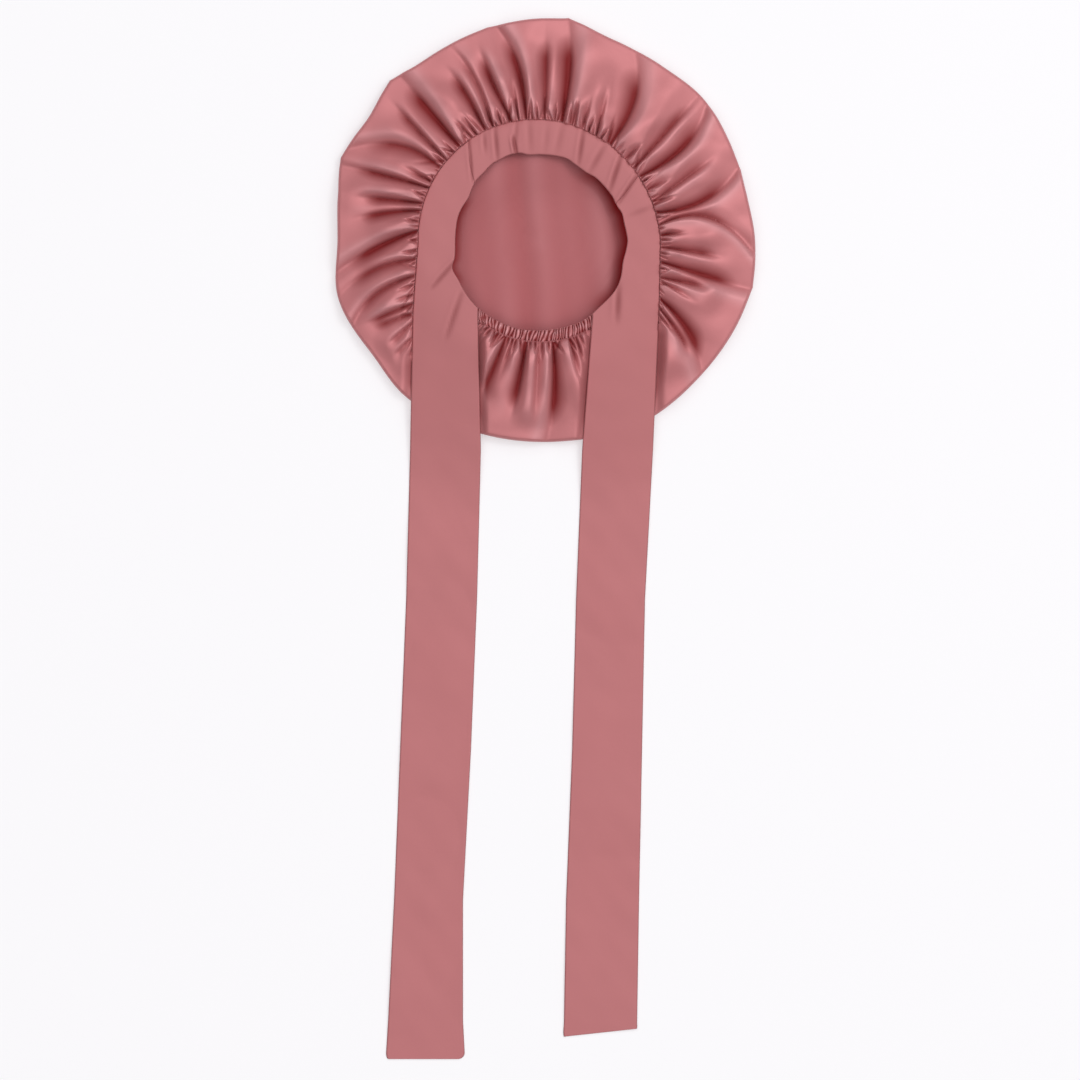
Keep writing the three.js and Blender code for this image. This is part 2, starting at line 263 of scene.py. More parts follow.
# Angle in degrees and radius in millimetres round the opening's edge, with its puckers.
OPENING_EDGE = [
    (-20.0, 73.6), (-15.0, 72.3), (-5.0, 73.2), (0.0, 74.0), (6.0, 73.5), (12.0, 72.9), (20.0, 73.3),
    (25.0, 72.0), (32.0, 72.5), (42.0, 72.3), (51.0, 72.2), (56.0, 71.2), (62.0, 71.7), (67.0, 72.9),
    (72.0, 74.6), (80.0, 74.9), (90.0, 75.0), (99.0, 75.9), (103.0, 78.3), (106.5, 79.0), (111.0, 79.4),
    (116.0, 79.0), (121.0, 79.1), (130.0, 77.1), (137.0, 76.6), (143.0, 74.6), (149.0, 72.8), (156.0, 73.7),
    (163.0, 74.3), (170.0, 73.8), (180.0, 73.6), (187.0, 74.2), (192.0, 76.2), (194.5, 78.4), (205.0, 77.9),
    (215.0, 78.2), (225.0, 78.3), (240.0, 77.5), (255.0, 77.0), (270.0, 75.9), (285.0, 75.8), (300.0, 76.2),
    (312.0, 74.9), (320.0, 75.3), (328.0, 75.8), (335.0, 74.9), (340.0, 73.6), (345.0, 72.3), (355.0, 73.2),
]

# y, then x of the outer and of the inner edge of each tie, from its free end up.
TIE_EDGES = {
    Side.LEFT: [
        (-702.6, -133.8, -65.4),
        (-669.0, -131.7, -67.2),
        (-566.0, -126.6, -67.2),
        (-436.0, -121.4, -60.3),
        (-307.0, -116.2, -55.1),
        (-178.0, -112.8, -51.7),
        (-60.0, -110.2, -54.2),
    ],
    Side.RIGHT: [
        (-680.0, 83.6, 18.9),
        (-672.0, 82.7, 19.6),
        (-566.0, 84.4, 21.5),
        (-436.0, 87.0, 26.7),
        (-307.0, 89.5, 30.1),
        (-178.0, 96.4, 35.3),
        (-64.6, 101.2, 43.9),
    ],
}


@dataclass
class Plan:
    """The bonnet's sizes as it lies, in millimetres, and the heights that its pieces share."""

    opening_radius: float = 75.1
    band_radius: float = 105.0
    band_shift: float = 1.6
    band_oval: float = 1.1
    band_skew: float = 1.8
    strip_radius: float = 90.0
    casing_outer: float = 84.5
    casing_overlap: float = 0.5
    casing_blend: float = 16.0
    casing_left: float = 227.6
    casing_right: float = 304.2
    seam_height: float = 19.5
    ply_gap: float = 0.8
    rim_columns: int = 100
    rim_least: float = 150.0
    rim_height: float = 9.2
    roll_radius: float = 2.8
    soft_start: float = 0.01
    tie_drop: float = 75.0
    join_left: tuple[float, float] = (125.5, 138.5)
    join_right: tuple[float, float] = (34.5, 27.0)
    sewn_left: float = -95.0
    sewn_right: float = -70.0
    # Where the ties press the crown flat: how far down they begin, where they are loose, and how
    # far off their outer and inner edges the folds rise again.
    press_start: tuple[float, float] = (25.0, 60.0)
    press_loose: tuple[float, float] = (-6.0, 14.0)
    press_outside: float = 9.0
    press_inside: float = 7.0
    # The painted shade beside a loose tie: where its outer and its inner edge begin to throw it, and how
    # wide it is.
    edge_loose: tuple[float, float] = (-10.0, 12.0)
    edge_nape: tuple[float, float] = (62.0, 84.0)
    edge_outside: float = 3.5
    edge_inside: float = 2.6
    edge_cover: float = -3.0
    # Angle, height and width in degrees of the outline's small corners.
    corners: tuple[tuple[float, float, float], ...] = (
        (83.0, 1.9, 1.7),
        (133.0, 1.5, 1.6),
        (157.0, 1.3, 1.8),
        (348.0, 1.2, 2.0),
        (20.0, 0.7, 1.6),
        (104.0, 0.7, 2.0),
    )
    rim_rows: Array = field(init=False)
    edges: dict[Side, Array] = field(init=False)

    def __post_init__(self) -> None:
        """Reads the crown's outline from its solid."""
        points = np.array([v.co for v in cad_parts["crown"].data.vertices]) / MM
        angle = np.degrees(np.arctan2(points[:, 1], points[:, 0])) % 360.0
        reach = np.hypot(points[:, 0], points[:, 1])
        count = self.rim_columns
        columns = np.round(angle / self.rim_step).astype(int) % count
        outside = reach > self.rim_least
        self.rim_rows = np.array([reach[(columns == k) & outside].max() for k in range(count)])
        self.edges = {side: np.array(TIE_EDGES[side]) for side in Side}

    @property
    def rim_step(self) -> float:
        """Degrees from one of the solid's columns to the next."""
        return 360.0 / self.rim_columns

    @property
    def sewn(self) -> dict[Side, float]:
        """How far down each tie is sewn to the crown, as y."""
        return {Side.LEFT: self.sewn_left, Side.RIGHT: self.sewn_right}

    def rim(self, deg: Array) -> Array:
        """Radius of the crown's outline, smooth through the solid's columns.

        Args:
            deg: angles in degrees.

        Returns:
            The radius at each angle, with the outline's few small corners.
        """
        at = (np.asarray(deg, float) % 360.0) / self.rim_step
        k = np.floor(at).astype(int)
        t = at - k
        p = [self.rim_rows[(k + n) % self.rim_columns] for n in (-1, 0, 1, 2)]
        bend = (2 * p[0] - 5 * p[1] + 4 * p[2] - p[3]) * t**2
        turn = (3 * (p[1] - p[2]) + p[3] - p[0]) * t**3
        radius = 0.5 * (2 * p[1] + (p[2] - p[0]) * t + bend + turn)
        for place, height, width in self.corners:
            radius = radius + height * np.exp(-np.abs(turn_between(deg, place)) / width)
        return radius

    def opening(self, deg: Array) -> Array:
        """Radius of the opening's edge.

        Args:
            deg: angles in degrees.

        Returns:
            The radius at each angle.
        """
        table = np.array(OPENING_EDGE)
        at = np.asarray(deg, float) % 360.0
        return spline(np.where(at > 350.0, at - 360.0, at), table[:, 0], table[:, 1])

    def band_outer(self, deg: Array) -> Array:
        """Radius of the band's sewn edge: a slightly uneven round.

        Args:
            deg: angles in degrees.

        Returns:
            The radius at each angle.
        """
        turn = np.radians(deg)
        shift = self.band_shift * np.cos(turn) + self.band_shift * np.sin(turn)
        oval = self.band_oval * np.cos(2 * turn)
        return self.band_radius - shift - oval - self.band_skew * np.sin(2 * turn)

    def edge_x(self, side: Side, y: Array, column: int) -> Array:
        """x of a tie's outer (1) or inner (2) edge at y."""
        rows = self.edges[side]
        return np.interp(y, rows[:, 0], rows[:, column])

    def outer_x(self, side: Side, y: Array) -> Array:
        """x of the outer edge of a side strip, from beside the opening down.

        Args:
            side: which strip.
            y: heights in the plan, 0 beside the opening and falling towards the free end.

        Returns:
            x at each y.
        """
        rows = self.edges[side]
        start = self.band_outer(180.0 if side is Side.LEFT else 0.0) * side.sign
        top_y, top_x = rows[-1, 0], rows[-1, 1]
        share = np.clip(np.asarray(y, float) / top_y, 0.0, 1.0)
        return np.where(y > top_y, mix(start, top_x, share), self.edge_x(side, y, 1))

    def lying(self, radius: Array, deg: Array) -> Array:
        """Height of the underside of whatever lies on the crown or hangs off its rim.

        Args:
            radius: distances from the opening's middle.
            deg: angles in degrees.

        Returns:
            The height at each point.
        """
        rim = self.rim(deg)
        seam = self.band_outer(deg)
        top = self.seam_height + self.ply_gap
        roll = rim - self.roll_radius
        share = (radius - seam) / (roll - seam)
        eased = np.minimum(0.5 * (share + np.sqrt(share**2 + self.soft_start)), 1.0)
        on_crown = mix(top, self.rim_height, eased)
        past = np.clip((radius - roll) / self.tie_drop, 0.0, 1.0)
        slope = self.tie_drop * (self.rim_height - top) / (roll - seam)
        hanging = self.rim_height * (1 - past) ** 2 * (1 + 2 * past) + slope * past * (1 - past) ** 2
        return np.where(radius <= roll, on_crown, hanging)

    def seam(self, deg: Array) -> Array:
        """Radius of the gathered seam: round the band, down beside each tie, then the casing.

        Args:
            deg: angles in degrees.

        Returns:
            The radius at each angle.
        """
        deg = np.asarray(deg, float) % 360.0
        radius = self.band_outer(deg)
        for side, end in self.sewn.items():
            down = turn_between(deg, 180.0) if side is Side.LEFT else -turn_between(deg, 0.0)
            far = abs(float(self.outer_x(side, end)))
            limit = math.degrees(math.atan2(-end, far))
            steep = np.radians(np.clip(down, 0.0, limit))
            line = np.abs(self.outer_x(side, -far * np.tan(steep))) / np.cos(steep)
            casing = self.casing_outer + self.casing_overlap
            below = mix(line, casing, smooth(down, limit, limit + self.casing_blend))
            radius = np.where((down > 0) & (down <= 90.0), below, radius)
        return radius

    def pressed(self, x: Array, y: Array) -> Array:
        """How far a loose tie presses the crown flat.

        Args:
            x: across.
            y: from nape to front.

        Returns:
            1 where the crown is pressed flat, 0 where its folds are free.
        """
        press = np.zeros(np.broadcast(x, y).shape)
        for side, end in self.sewn.items():
            outer, inner = self.outer_x(side, y), self.edge_x(side, y, 2)
            beyond = (x - outer) * side.sign
            within = (inner - x) * side.sign
            loose = smooth(-y, -end + self.press_loose[0], -end + self.press_loose[1])
            flat = np.where(beyond > -0.5, loose * (1 - smooth(beyond, 0.0, self.press_outside)), 1.0)
            flat = np.where(within > 0, 1 - smooth(within, 0.0, self.press_inside), flat)
            press = np.maximum(press, flat * smooth(-y, *self.press_start))
        return press

    def beside_ties(self, x: Array, y: Array) -> Array:
        """Where shade is painted on the crown beside a loose tie's edge.

        Args:
            x: across.
            y: from nape to front.

        Returns:
            1 along the edge of a loose tie, falling to 0 a little way off it.
        """
        near = np.zeros(np.broadcast(x, y).shape)
        for side, end in self.sewn.items():
            loose = smooth(-y, -end + self.edge_loose[0], -end + self.edge_loose[1])
            outward = (x - self.outer_x(side, y)) * side.sign
            inward = (self.edge_x(side, y, 2) - x) * side.sign
            low = smooth(-y, *self.edge_nape)
            for shown, off, width in (
                (loose, outward, self.edge_outside),
                (low, inward, self.edge_inside),
            ):
                shade = shown * np.exp(-np.maximum(off, 0.0) / width) * (off > self.edge_cover)
                near = np.maximum(near, shade)
        return near


PLAN = Plan()


# ---- Finishes ----------------------------------------------------------------------------
@dataclass
class Socket:
    """One output of a node, on which arithmetic adds Math nodes."""

    graph: "Graph"
    link: bpy.types.NodeSocket

    def _math(self, operation: str, a: "Socket | float", b: "Socket | float") -> "Socket":
        """Adds a Math node on two values."""
        node = self.graph.add("ShaderNodeMath", {"operation": operation}, {0: a, 1: b})
        return Socket(self.graph, node.outputs[0])

    def __add__(self, other: "Socket | float") -> "Socket":
        """self + other."""
        return self._math("ADD", self, other)

    def __radd__(self, other: "Socket | float") -> "Socket":
        """other + self."""
        return self._math("ADD", other, self)

    def __sub__(self, other: "Socket | float") -> "Socket":
        """self - other."""
        return self._math("SUBTRACT", self, other)

    def __rsub__(self, other: "Socket | float") -> "Socket":
        """other - self."""
        return self._math("SUBTRACT", other, self)

    def __mul__(self, other: "Socket | float") -> "Socket":
        """self * other."""
        return self._math("MULTIPLY", self, other)

    def __rmul__(self, other: "Socket | float") -> "Socket":
        """other * self."""
        return self._math("MULTIPLY", other, self)


class Graph:
    """The nodes of one material or of the sky, added one call at a time."""

    def __init__(self, owner: bpy.types.Material | bpy.types.World) -> None:
        """Empties the node tree of a material or world.

        Args:
            owner: the material or world.
        """
        owner.use_nodes = True
        self.tree = owner.node_tree
        self.tree.nodes.clear()

    def add(self, kind: str, settings: dict | None = None, values: dict | None = None) -> bpy.types.Node:
        """Adds a node.

        Args:
            kind: the node's type.
            settings: its own settings, such as a Math node's operation.
            values: a number, colour or link for each socket, by name or place.

        Returns:
            The new node.
        """
        node = self.tree.nodes.new(kind)
        for key, setting in (settings or {}).items():
            setattr(node, key, setting)
        for key, value in (values or {}).items():
            if isinstance(value, Socket):
                self.tree.links.new(value.link, node.inputs[key])
            elif isinstance(value, bpy.types.NodeSocket):
                self.tree.links.new(value, node.inputs[key])
            else:
                node.inputs[key].default_value = value
        return node

    def value(self, kind: str, settings: dict | None = None, values: dict | None = None) -> Socket:
        """Adds a node and wraps its first output."""
        return Socket(self, self.add(kind, settings, values).outputs[0])

    def noise(self, place: bpy.types.NodeSocket, scale: float, detail: float = 2.0) -> Socket:
        """Adds an even noise of a scale."""
        return self.value("ShaderNodeTexNoise", {}, {"Vector": place, "Scale": scale, "Detail": detail})

    def blend(self, share: Socket, a: object, b: object) -> bpy.types.NodeSocket:
        """Adds a colour Mix node, from colour or link a to colour or link b."""
        return self.add("ShaderNodeMix", {"data_type": "RGBA"}, {0: share, 6: a, 7: b}).outputs[2]


@dataclass(frozen=True)
class Satin:
    """A satin finish: a smooth warp-faced cloth, with a soft uneven sheen, a very fine weave, and painted
    shade and highlight in its colour.
    """

    name: str
    colour: tuple[float, float, float]
    shade: float = 0.93
    roughness: float = 0.4
    metallic: float = 0.25
    specular: float = 0.5
    sheen: float = 0.15
    weave: float = 0.25
    crumple: float = 0.2
    # Colour factors of the painted shade in folds, and the colour of the painted highlight on crests.
    painted_shade: tuple[float, float, float] = (0.36, 0.04, 0.045)
    painted_highlight: tuple[float, float, float] = (0.6, 0.275, 0.29)
    cloud_scale: float = 14.0
    crumple_scale: float = 95.0
    crumple_height: float = 0.0012
    thread_scale: tuple[float, float, float] = (5200.0, 900.0, 900.0)
    thread_height: float = 0.00012
    cloud_roughness: float = 0.1
    thread_roughness: float = 0.06
    fold_roughness: float = 0.25
    sheen_roughness: float = 0.4
    sheen_tint: tuple[float, float, float, float] = (1.0, 0.8, 0.8, 1.0)

    def _colour(self, graph: Graph, cloud: Socket, thread: Socket, depth: Socket, shaded: Socket) -> object:
        """Adds the nodes of the colour, with its painted shade and painted highlight.

        Args:
            graph: the material's nodes.
            cloud: the wide uneven noise.
            thread: the noise of the weave.
            depth: the painted shade, and below 0 the painted highlight.
            shaded: the painted shade alone, from 0 to 1.

        Returns:
            The link that carries the colour.
        """
        dark = (*(c * self.shade for c in self.colour), 1.0)
        light = (*(min(c * (2 - self.shade), 1.0) for c in self.colour), 1.0)
        painted_shade = (*(c * k for c, k in zip(self.colour, self.painted_shade)), 1.0)
        tint = graph.blend(cloud * 0.7 + thread * 0.3, dark, light)
        # Painted shade darkens the colour in folds; painted highlight lightens it on crests.
        folded = graph.blend(shaded, tint, painted_shade)
        return graph.blend(depth * -1.0, folded, (*self.painted_highlight, 1.0))

    def material(self) -> bpy.types.Material:
        """Builds the material.

        Returns:
            A Principled material whose colour, gloss and normal vary over the cloth, its colour with painted
            shade and highlight.
        """
        material = bpy.data.materials.new(self.name)
        graph = Graph(material)
        place = graph.add("ShaderNodeTexCoord").outputs["Object"]
        cloud = graph.noise(place, self.cloud_scale, 4.0)
        stretched = graph.add("ShaderNodeMapping", {}, {"Vector": place, "Scale": self.thread_scale})
        thread = graph.noise(stretched.outputs[0], 1.0, 1.0)
        crease = graph.noise(place, self.crumple_scale, 3.0)
        # The painted shade of each point and, below 0, its painted highlight.
        fold = graph.add("ShaderNodeAttribute", {"attribute_name": "painted_shade_and_highlight"})
        depth = Socket(graph, fold.outputs["Fac"])
        shaded = graph.value("ShaderNodeClamp", {}, {"Value": depth})
        colour = self._colour(graph, cloud, thread, depth, shaded)
        fine = graph.add(
            "ShaderNodeBump",
            {},
            {"Strength": self.weave, "Distance": self.thread_height, "Height": thread},
        )
        soft = graph.add(
            "ShaderNodeBump",
            {},
            {
                "Strength": self.crumple,
                "Distance": self.crumple_height,
                "Height": crease,
                "Normal": fine.outputs[0],
            },
        )
        uneven = cloud * self.cloud_roughness + thread * self.thread_roughness
        plain = self.roughness - (self.cloud_roughness + self.thread_roughness) / 2
        shader = graph.add(
            "ShaderNodeBsdfPrincipled",
            {},
            {
                "Base Color": colour,
                # Less metallic and rougher where shade is painted, so reflections don't brighten the painted
                # shade.
                "Metallic": (1.0 - shaded) * self.metallic,
                "Roughness": uneven + shaded * self.fold_roughness + plain,
                "Normal": soft.outputs[0],
                "Sheen Weight": self.sheen,
                "Sheen Roughness": self.sheen_roughness,
                "Sheen Tint": self.sheen_tint,
                "Specular IOR Level": self.specular,
            },
        )
        graph.add("ShaderNodeOutputMaterial", {}, {"Surface": shader.outputs[0]})
        return material


CROWN_FACE = Satin(
    "crown_satin_face", (0.53, 0.184, 0.193), roughness=0.48, metallic=0.27, specular=0.35, sheen=0.06
)
CROWN_BACK = Satin(
    "crown_satin_back",
    (0.46, 0.157, 0.168),
    roughness=0.65,
    metallic=0.1,
    specular=0.2,
    sheen=0.05,
    crumple=0.15,
    painted_shade=(0.6, 0.07, 0.08),
)
BAND_FACE = Satin("band_satin", (0.45, 0.146, 0.153), roughness=0.52, crumple=0.1)
CASING_FACE = Satin("casing_satin", (0.54, 0.196, 0.205), roughness=0.46)


# ---- Crown -------------------------------------------------------------------------------
@dataclass(frozen=True)
class Valley:
    """One fold valley of the crown: its angle at the seam, half way and at the rim, and its shape.

    Its reach is the share of the way to the rim at which it ends, and its lean makes the flank on one
    side longer than on the other.
    """

    band: float
    middle: float
    rim: float
    depth: float
    width: float
    reach: float = 1.9
    lean: float = 0.45


# The main valleys, in the order of Valley's fields. A row ends early where its reach or its lean is
# the usual one.
MAIN_VALLEYS = [
    Valley(*row)
    for row in (
        (3.0, 3.6, 3.6, 0.8, 3.4, 0.26), (7.8, 9.0, -2.5, 0.85, 3.4), (14.0, 14.0, 20.5, 0.95, 4.8),
        (18.0, 18.6, 18.6, 0.7, 2.6, 0.2), (19.6, 24.2, 27.5, 0.75, 3.4, 0.85),
        (26.0, 26.3, 26.3, 0.85, 4.6, 0.3), (30.4, 31.4, 31.4, 0.8, 2.2, 0.16),
        (33.5, 33.2, 39.5, 0.97, 5.4), (38.2, 41.2, 43.0, 0.85, 3.8), (44.3, 44.0, 44.0, 0.75, 4.2, 0.24),
        (54.6, 56.4, 63.5, 0.92, 8.2), (59.8, 58.0, 58.0, 0.7, 2.4, 0.16),
        (62.4, 66.6, 69.0, 0.75, 2.6, 0.55), (66.6, 67.2, 67.2, 0.7, 2.4, 0.2),
        (70.0, 71.0, 71.0, 0.7, 4.0, 0.36), (75.0, 75.4, 75.4, 0.8, 3.2, 0.27),
        (80.0, 80.6, 82.9, 1.0, 7.4), (83.4, 83.6, 84.0, 0.7, 2.0, 0.2), (88.3, 88.4, 89.0, 0.85, 4.6, 1.0),
        (91.4, 92.6, 93.0, 0.75, 2.4, 0.18), (94.0, 94.2, 94.2, 0.75, 2.2, 0.22),
        (96.8, 97.2, 101.5, 1.0, 4.6), (100.2, 100.2, 100.3, 0.85, 2.2, 0.5),
        (103.6, 107.0, 107.6, 0.95, 3.8, 0.9), (108.4, 108.8, 108.8, 0.8, 2.8, 0.2),
        (112.6, 112.0, 114.8, 0.7, 2.6, 1.1), (112.4, 112.3, 112.3, 0.8, 3.2, 0.26),
        (116.5, 117.0, 119.5, 0.92, 4.6, 0.85), (120.8, 122.6, 123.0, 0.85, 3.6, 0.3),
        (130.4, 130.3, 130.4, 1.0, 6.2, 1.6), (134.0, 134.6, 134.6, 0.7, 2.2, 0.18),
        (139.0, 137.8, 136.6, 0.8, 3.4, 1.0), (140.5, 140.0, 140.0, 0.7, 2.2, 0.18),
        (143.8, 145.2, 154.0, 0.85, 7.0), (151.0, 151.6, 151.8, 0.85, 4.0, 0.42),
        (154.2, 156.8, 158.8, 0.9, 3.8), (158.3, 158.4, 158.4, 0.75, 2.6, 0.18),
        (161.8, 164.8, 167.0, 0.9, 4.2, 0.85), (165.3, 170.0, 174.5, 0.92, 4.6, 0.88),
        (170.4, 171.0, 171.0, 0.8, 2.8, 0.2), (174.6, 181.4, 188.0, 1.0, 6.0),
        (179.0, 180.0, 180.0, 0.7, 2.6, 0.16), (184.0, 184.8, 184.8, 0.75, 2.8, 0.22),
        (187.8, 189.2, 194.5, 0.82, 5.4), (194.8, 197.2, 203.5, 0.82, 4.0),
        (198.4, 199.0, 199.2, 0.75, 3.0, 0.27), (202.3, 201.8, 202.0, 0.75, 2.4, 0.32),
        (205.6, 205.0, 205.5, 0.85, 3.2, 0.95), (208.9, 207.6, 206.5, 0.75, 3.2, 0.85),
        (212.0, 213.5, 214.0, 0.65, 3.0, 0.65), (216.5, 217.6, 218.5, 0.6, 3.0, 0.65),
        (244.5, 244.0, 244.0, 0.75, 3.0, 0.2), (249.5, 248.8, 247.5, 0.92, 5.6, 0.95),
        (253.5, 253.0, 252.0, 0.6, 2.6, 0.5), (262.0, 261.0, 259.5, 0.97, 5.0, 0.85, -0.4),
        (268.6, 268.2, 268.0, 0.5, 3.4, 0.9), (276.5, 275.0, 272.0, 1.0, 5.6),
        (286.0, 286.0, 285.8, 0.8, 3.6, 0.55), (290.0, 289.0, 288.0, 0.85, 3.4, 0.45),
        (327.6, 324.6, 322.0, 0.75, 3.2, 0.45), (330.4, 324.8, 320.0, 0.85, 4.2, 0.75),
        (334.3, 328.5, 321.8, 1.0, 6.6), (341.5, 338.8, 337.5, 0.65, 2.4, 0.5),
        (343.2, 344.6, 345.0, 0.85, 4.2, 0.6), (350.3, 348.3, 347.6, 0.95, 5.4),
        (357.3, 355.9, 355.0, 0.85, 4.2, 0.7),
    )
]


@dataclass
class Crown:
    """The gathered pouch: soft back, rolled rim, folded front gathered into the seam."""

    name: str = "crown_cloth"
    wall: float = 0.8
    seam_wall: float = 1.2
    back_wall: float = 1.2
    back_sink: float = 1.0
    back_fold: float = 3.6
    edge_lift: float = 10.5
    lift_middle: float = 108.0
    hem: float = 4.5
    tuck: float = 3.0
    puff: float = 13.0
    rise: float = 0.1
    flank: float = 2.7
    small_reach: float = 0.4
    full_width: float = 66.0
    seam_pinch: float = 0.52
    rim_calm: float = 0.55
    uneven: Ripple = Ripple(0.12, 34.0, 5)
    crumple: Ripple = Ripple(0.16, 24.0, 7)
    gather_pitch: float = 4.6
    gather_seed: int = 11
    nape: tuple[float, float] = (228.0, 304.0)
    # Painted shade in the folds and beside a loose tie's edge, then the reach, gain and most of the painted
    # highlight on ridges.
    fold_shade: tuple[float, float] = (1.85, 0.6)
    edge_shade: float = 0.75
    painted_highlight_reach: float = 4.0
    painted_highlight_gain: float = 1.3
    painted_highlight_most: float = 0.6
    # The inner face mixes in most of the painted highlight colour, so it reads lighter than the outer face.
    inner_painted_light: float = -0.9
    # Painted shade in the soft folds of the back's inner face.
    back_fold_shade: float = 0.3
    # Where painted shadow of the opening's edge falls on the back's inner face: its angle, how far round
    # it is whole and ends, how far in it reaches, and its depth.
    edge_shadows: tuple[tuple[float, ...], ...] = (
        (5.0, 45.0, 62.0, 12.0, 0.8),
        (178.0, 22.0, 34.0, 7.0, 0.7),
    )
    fine_columns: int = 1440
    near_share: float = 0.22
    near_rows: int = 16
    far_rows: int = 33
    cut_radius: float = 256.0
    outer_back: tuple[float, ...] = (0.97, 0.9, 0.8, 0.7, 0.62, 0.55, 0.48, 0.42, 0.36, 0.28, 0.2, 0.1)
    outer_thins: tuple[float, ...] = (0.3, 0.12)
    inner_back: tuple[float, ...] = (
        *(0.96, 0.88, 0.78, 0.66, 0.56, 0.5, 0.47, 0.45, 0.43, 0.41),
        *(0.39, 0.37, 0.34, 0.3, 0.25, 0.2, 0.15, 0.1, 0.06),
    )
    inner_thins: tuple[float, ...] = (0.12,)
    main: Array = field(init=False)
    all: Array = field(init=False)

    def __post_init__(self) -> None:
        """Adds the small gathers to the main valleys."""
        self.main = self._rows(MAIN_VALLEYS)
        self.all = np.concatenate([self.main, self._rows(self._gathers())])

    @staticmethod
    def _rows(valleys: list[Valley]) -> Array:
        """The valleys as rows of numbers."""
        return np.array([(v.band, v.middle, v.rim, v.depth, v.width, v.reach, v.lean) for v in valleys])

    def _gathers(self) -> list[Valley]:
        """Small gathers along the whole seam, which lean the way the main folds run.

        Returns:
            The gathers, deeper and closer to one length at the nape.
        """
        draw = np.random.default_rng(self.gather_seed)
        bands = np.array([v.band for v in MAIN_VALLEYS])
        leans = np.array([v.middle - v.band for v in MAIN_VALLEYS])
        found, deg = [], 0.0
        while deg < 360.0:
            step = self.gather_pitch * draw.uniform(0.55, 1.5)
            deg += math.degrees(step / float(PLAN.seam(deg)))
            lean = float(np.interp(deg, bands, leans)) + draw.normal(0, 5.0)
            far = deg + lean
            if self.nape[0] < deg < self.nape[1]:
                reach = 0.12 + 0.12 * draw.random()
                depth = draw.uniform(0.75, 0.95)
                width = draw.uniform(1.5, 2.4) + 3.0 * reach + 0.8
            else:
                reach = 0.06 + 0.28 * draw.random() ** 2.0
                depth = draw.uniform(0.35, 0.85)
                width = draw.uniform(1.5, 2.4) + 3.0 * reach
            found.append(Valley(deg, far, far, depth, width, reach, draw.uniform(-0.3, 0.5)))
        return found

    def ridge(self, deg: Array, t: Array, rows: Array) -> Array:
        """How much of the cloth's loft stands, from 0 at the bottom of a valley at full depth to 1 on a free
        ridge.

        Args:
            deg: angles of the points.
            t: how far each point is from the seam (0) to the rim (1).
            rows: the valleys.

        Returns:
            The share of the loft at each point.
        """
        stand = np.ones(len(deg))
        radius = mix(PLAN.seam(deg), PLAN.rim(deg), t)
        opened = 0.25 + 2.0 * t - 0.8 * t**2
        for band, middle, rim, depth, width, reach, lean in rows:
            path = band * (1 - t) * (1 - 2 * t) + middle * 4 * t * (1 - t) + rim * t * (2 * t - 1)
            off = np.radians(turn_between(deg, path)) * radius
            spread = self.flank * width * opened * np.where(off > 0, 1 + lean, 1 - lean)
            if reach < self.small_reach:
                spread = spread * (1 - 0.7 * smooth(t, 0.25 * reach, 1.1 * reach))
            near = np.abs(off) < spread
            if not near.any():
                continue
            fade = 1 - smooth(t[near], (0.15 if reach < 0.6 else 0.6) * reach, 1.1 * reach)
            dip = (1 - np.abs(off[near]) / spread[near]) ** 1.55
            stand[near] *= 1 - depth * fade * dip
        return stand

    def top(self, deg: Array, t: Array, fine: bool, lofted: Array | float = 1.0) -> tuple[Array, Array]:
        """Points of the gathered top.

        Args:
            deg: angles of the points.
            t: share of the way from the seam to the rim's roll; below 0 it is under the band.
            fine: whether the small gathers are there.
            lofted: share of the folds' height, 0 for the plain cone on which they stand.

        Returns:
            Rows of x, y and z in millimetres, and the painted shade of each, below 0 where a highlight is
            painted.
        """
        seam = PLAN.seam(deg)
        roll = PLAN.rim(deg) - PLAN.roll_radius
        past = np.maximum(t, 0.0)
        radius = mix(seam, roll, past) + np.minimum(t, 0.0) * self.hem
        x, y = on_circle(radius, deg)
        tuck = smooth(-y, 55.0, 68.0) * (1 - smooth(radius, 84.0, 91.0)) * (1 - smooth(past, 0.0, 0.04))
        base = PLAN.lying(radius, deg) - PLAN.ply_gap - self.tuck * tuck
        room = np.clip((roll - seam) / self.full_width, 0.0, 1.0) ** 0.8
        start = smooth(past, 0.0, 0.004) * (1 - self.seam_pinch * np.exp(-past / self.rise))
        loft = self.puff * room * start * (1 - self.rim_calm * smooth(past, 0.4, 1.0))
        loft *= 1 + self.uneven.at(x, y)
        stand = self.ridge(deg, past, self.all if fine else self.main)
        free = 1 - PLAN.pressed(x, y)
        small = self.crumple.at(x, y) * smooth(past, 0.02, 0.2)
        z = base + (loft * stand + small) * free * lofted
        # Painted shade in the folds and beside a loose tie's edge, fading near the rim; painted highlight on
        # ridges that end a valley.
        depth = (1 - stand) * free * (1 - 0.8 * smooth(past, 0.6, 1.0)) * smooth(past, 0.0, 0.02)
        edge = self.edge_shade * PLAN.beside_ties(x, y) * (1 - smooth(past, 0.8, 1.0))
        gain, start_depth = self.fold_shade
        shade = np.maximum(np.clip(gain * depth - start_depth, 0.0, 1.0), edge)
        painted_highlight = self._painted_crest_highlight(stand) * (1 - smooth(edge, 0.0, 0.2)) * smooth(past, 0.0, 0.04)
        return np.stack([x, y, z], axis=1), shade - painted_highlight

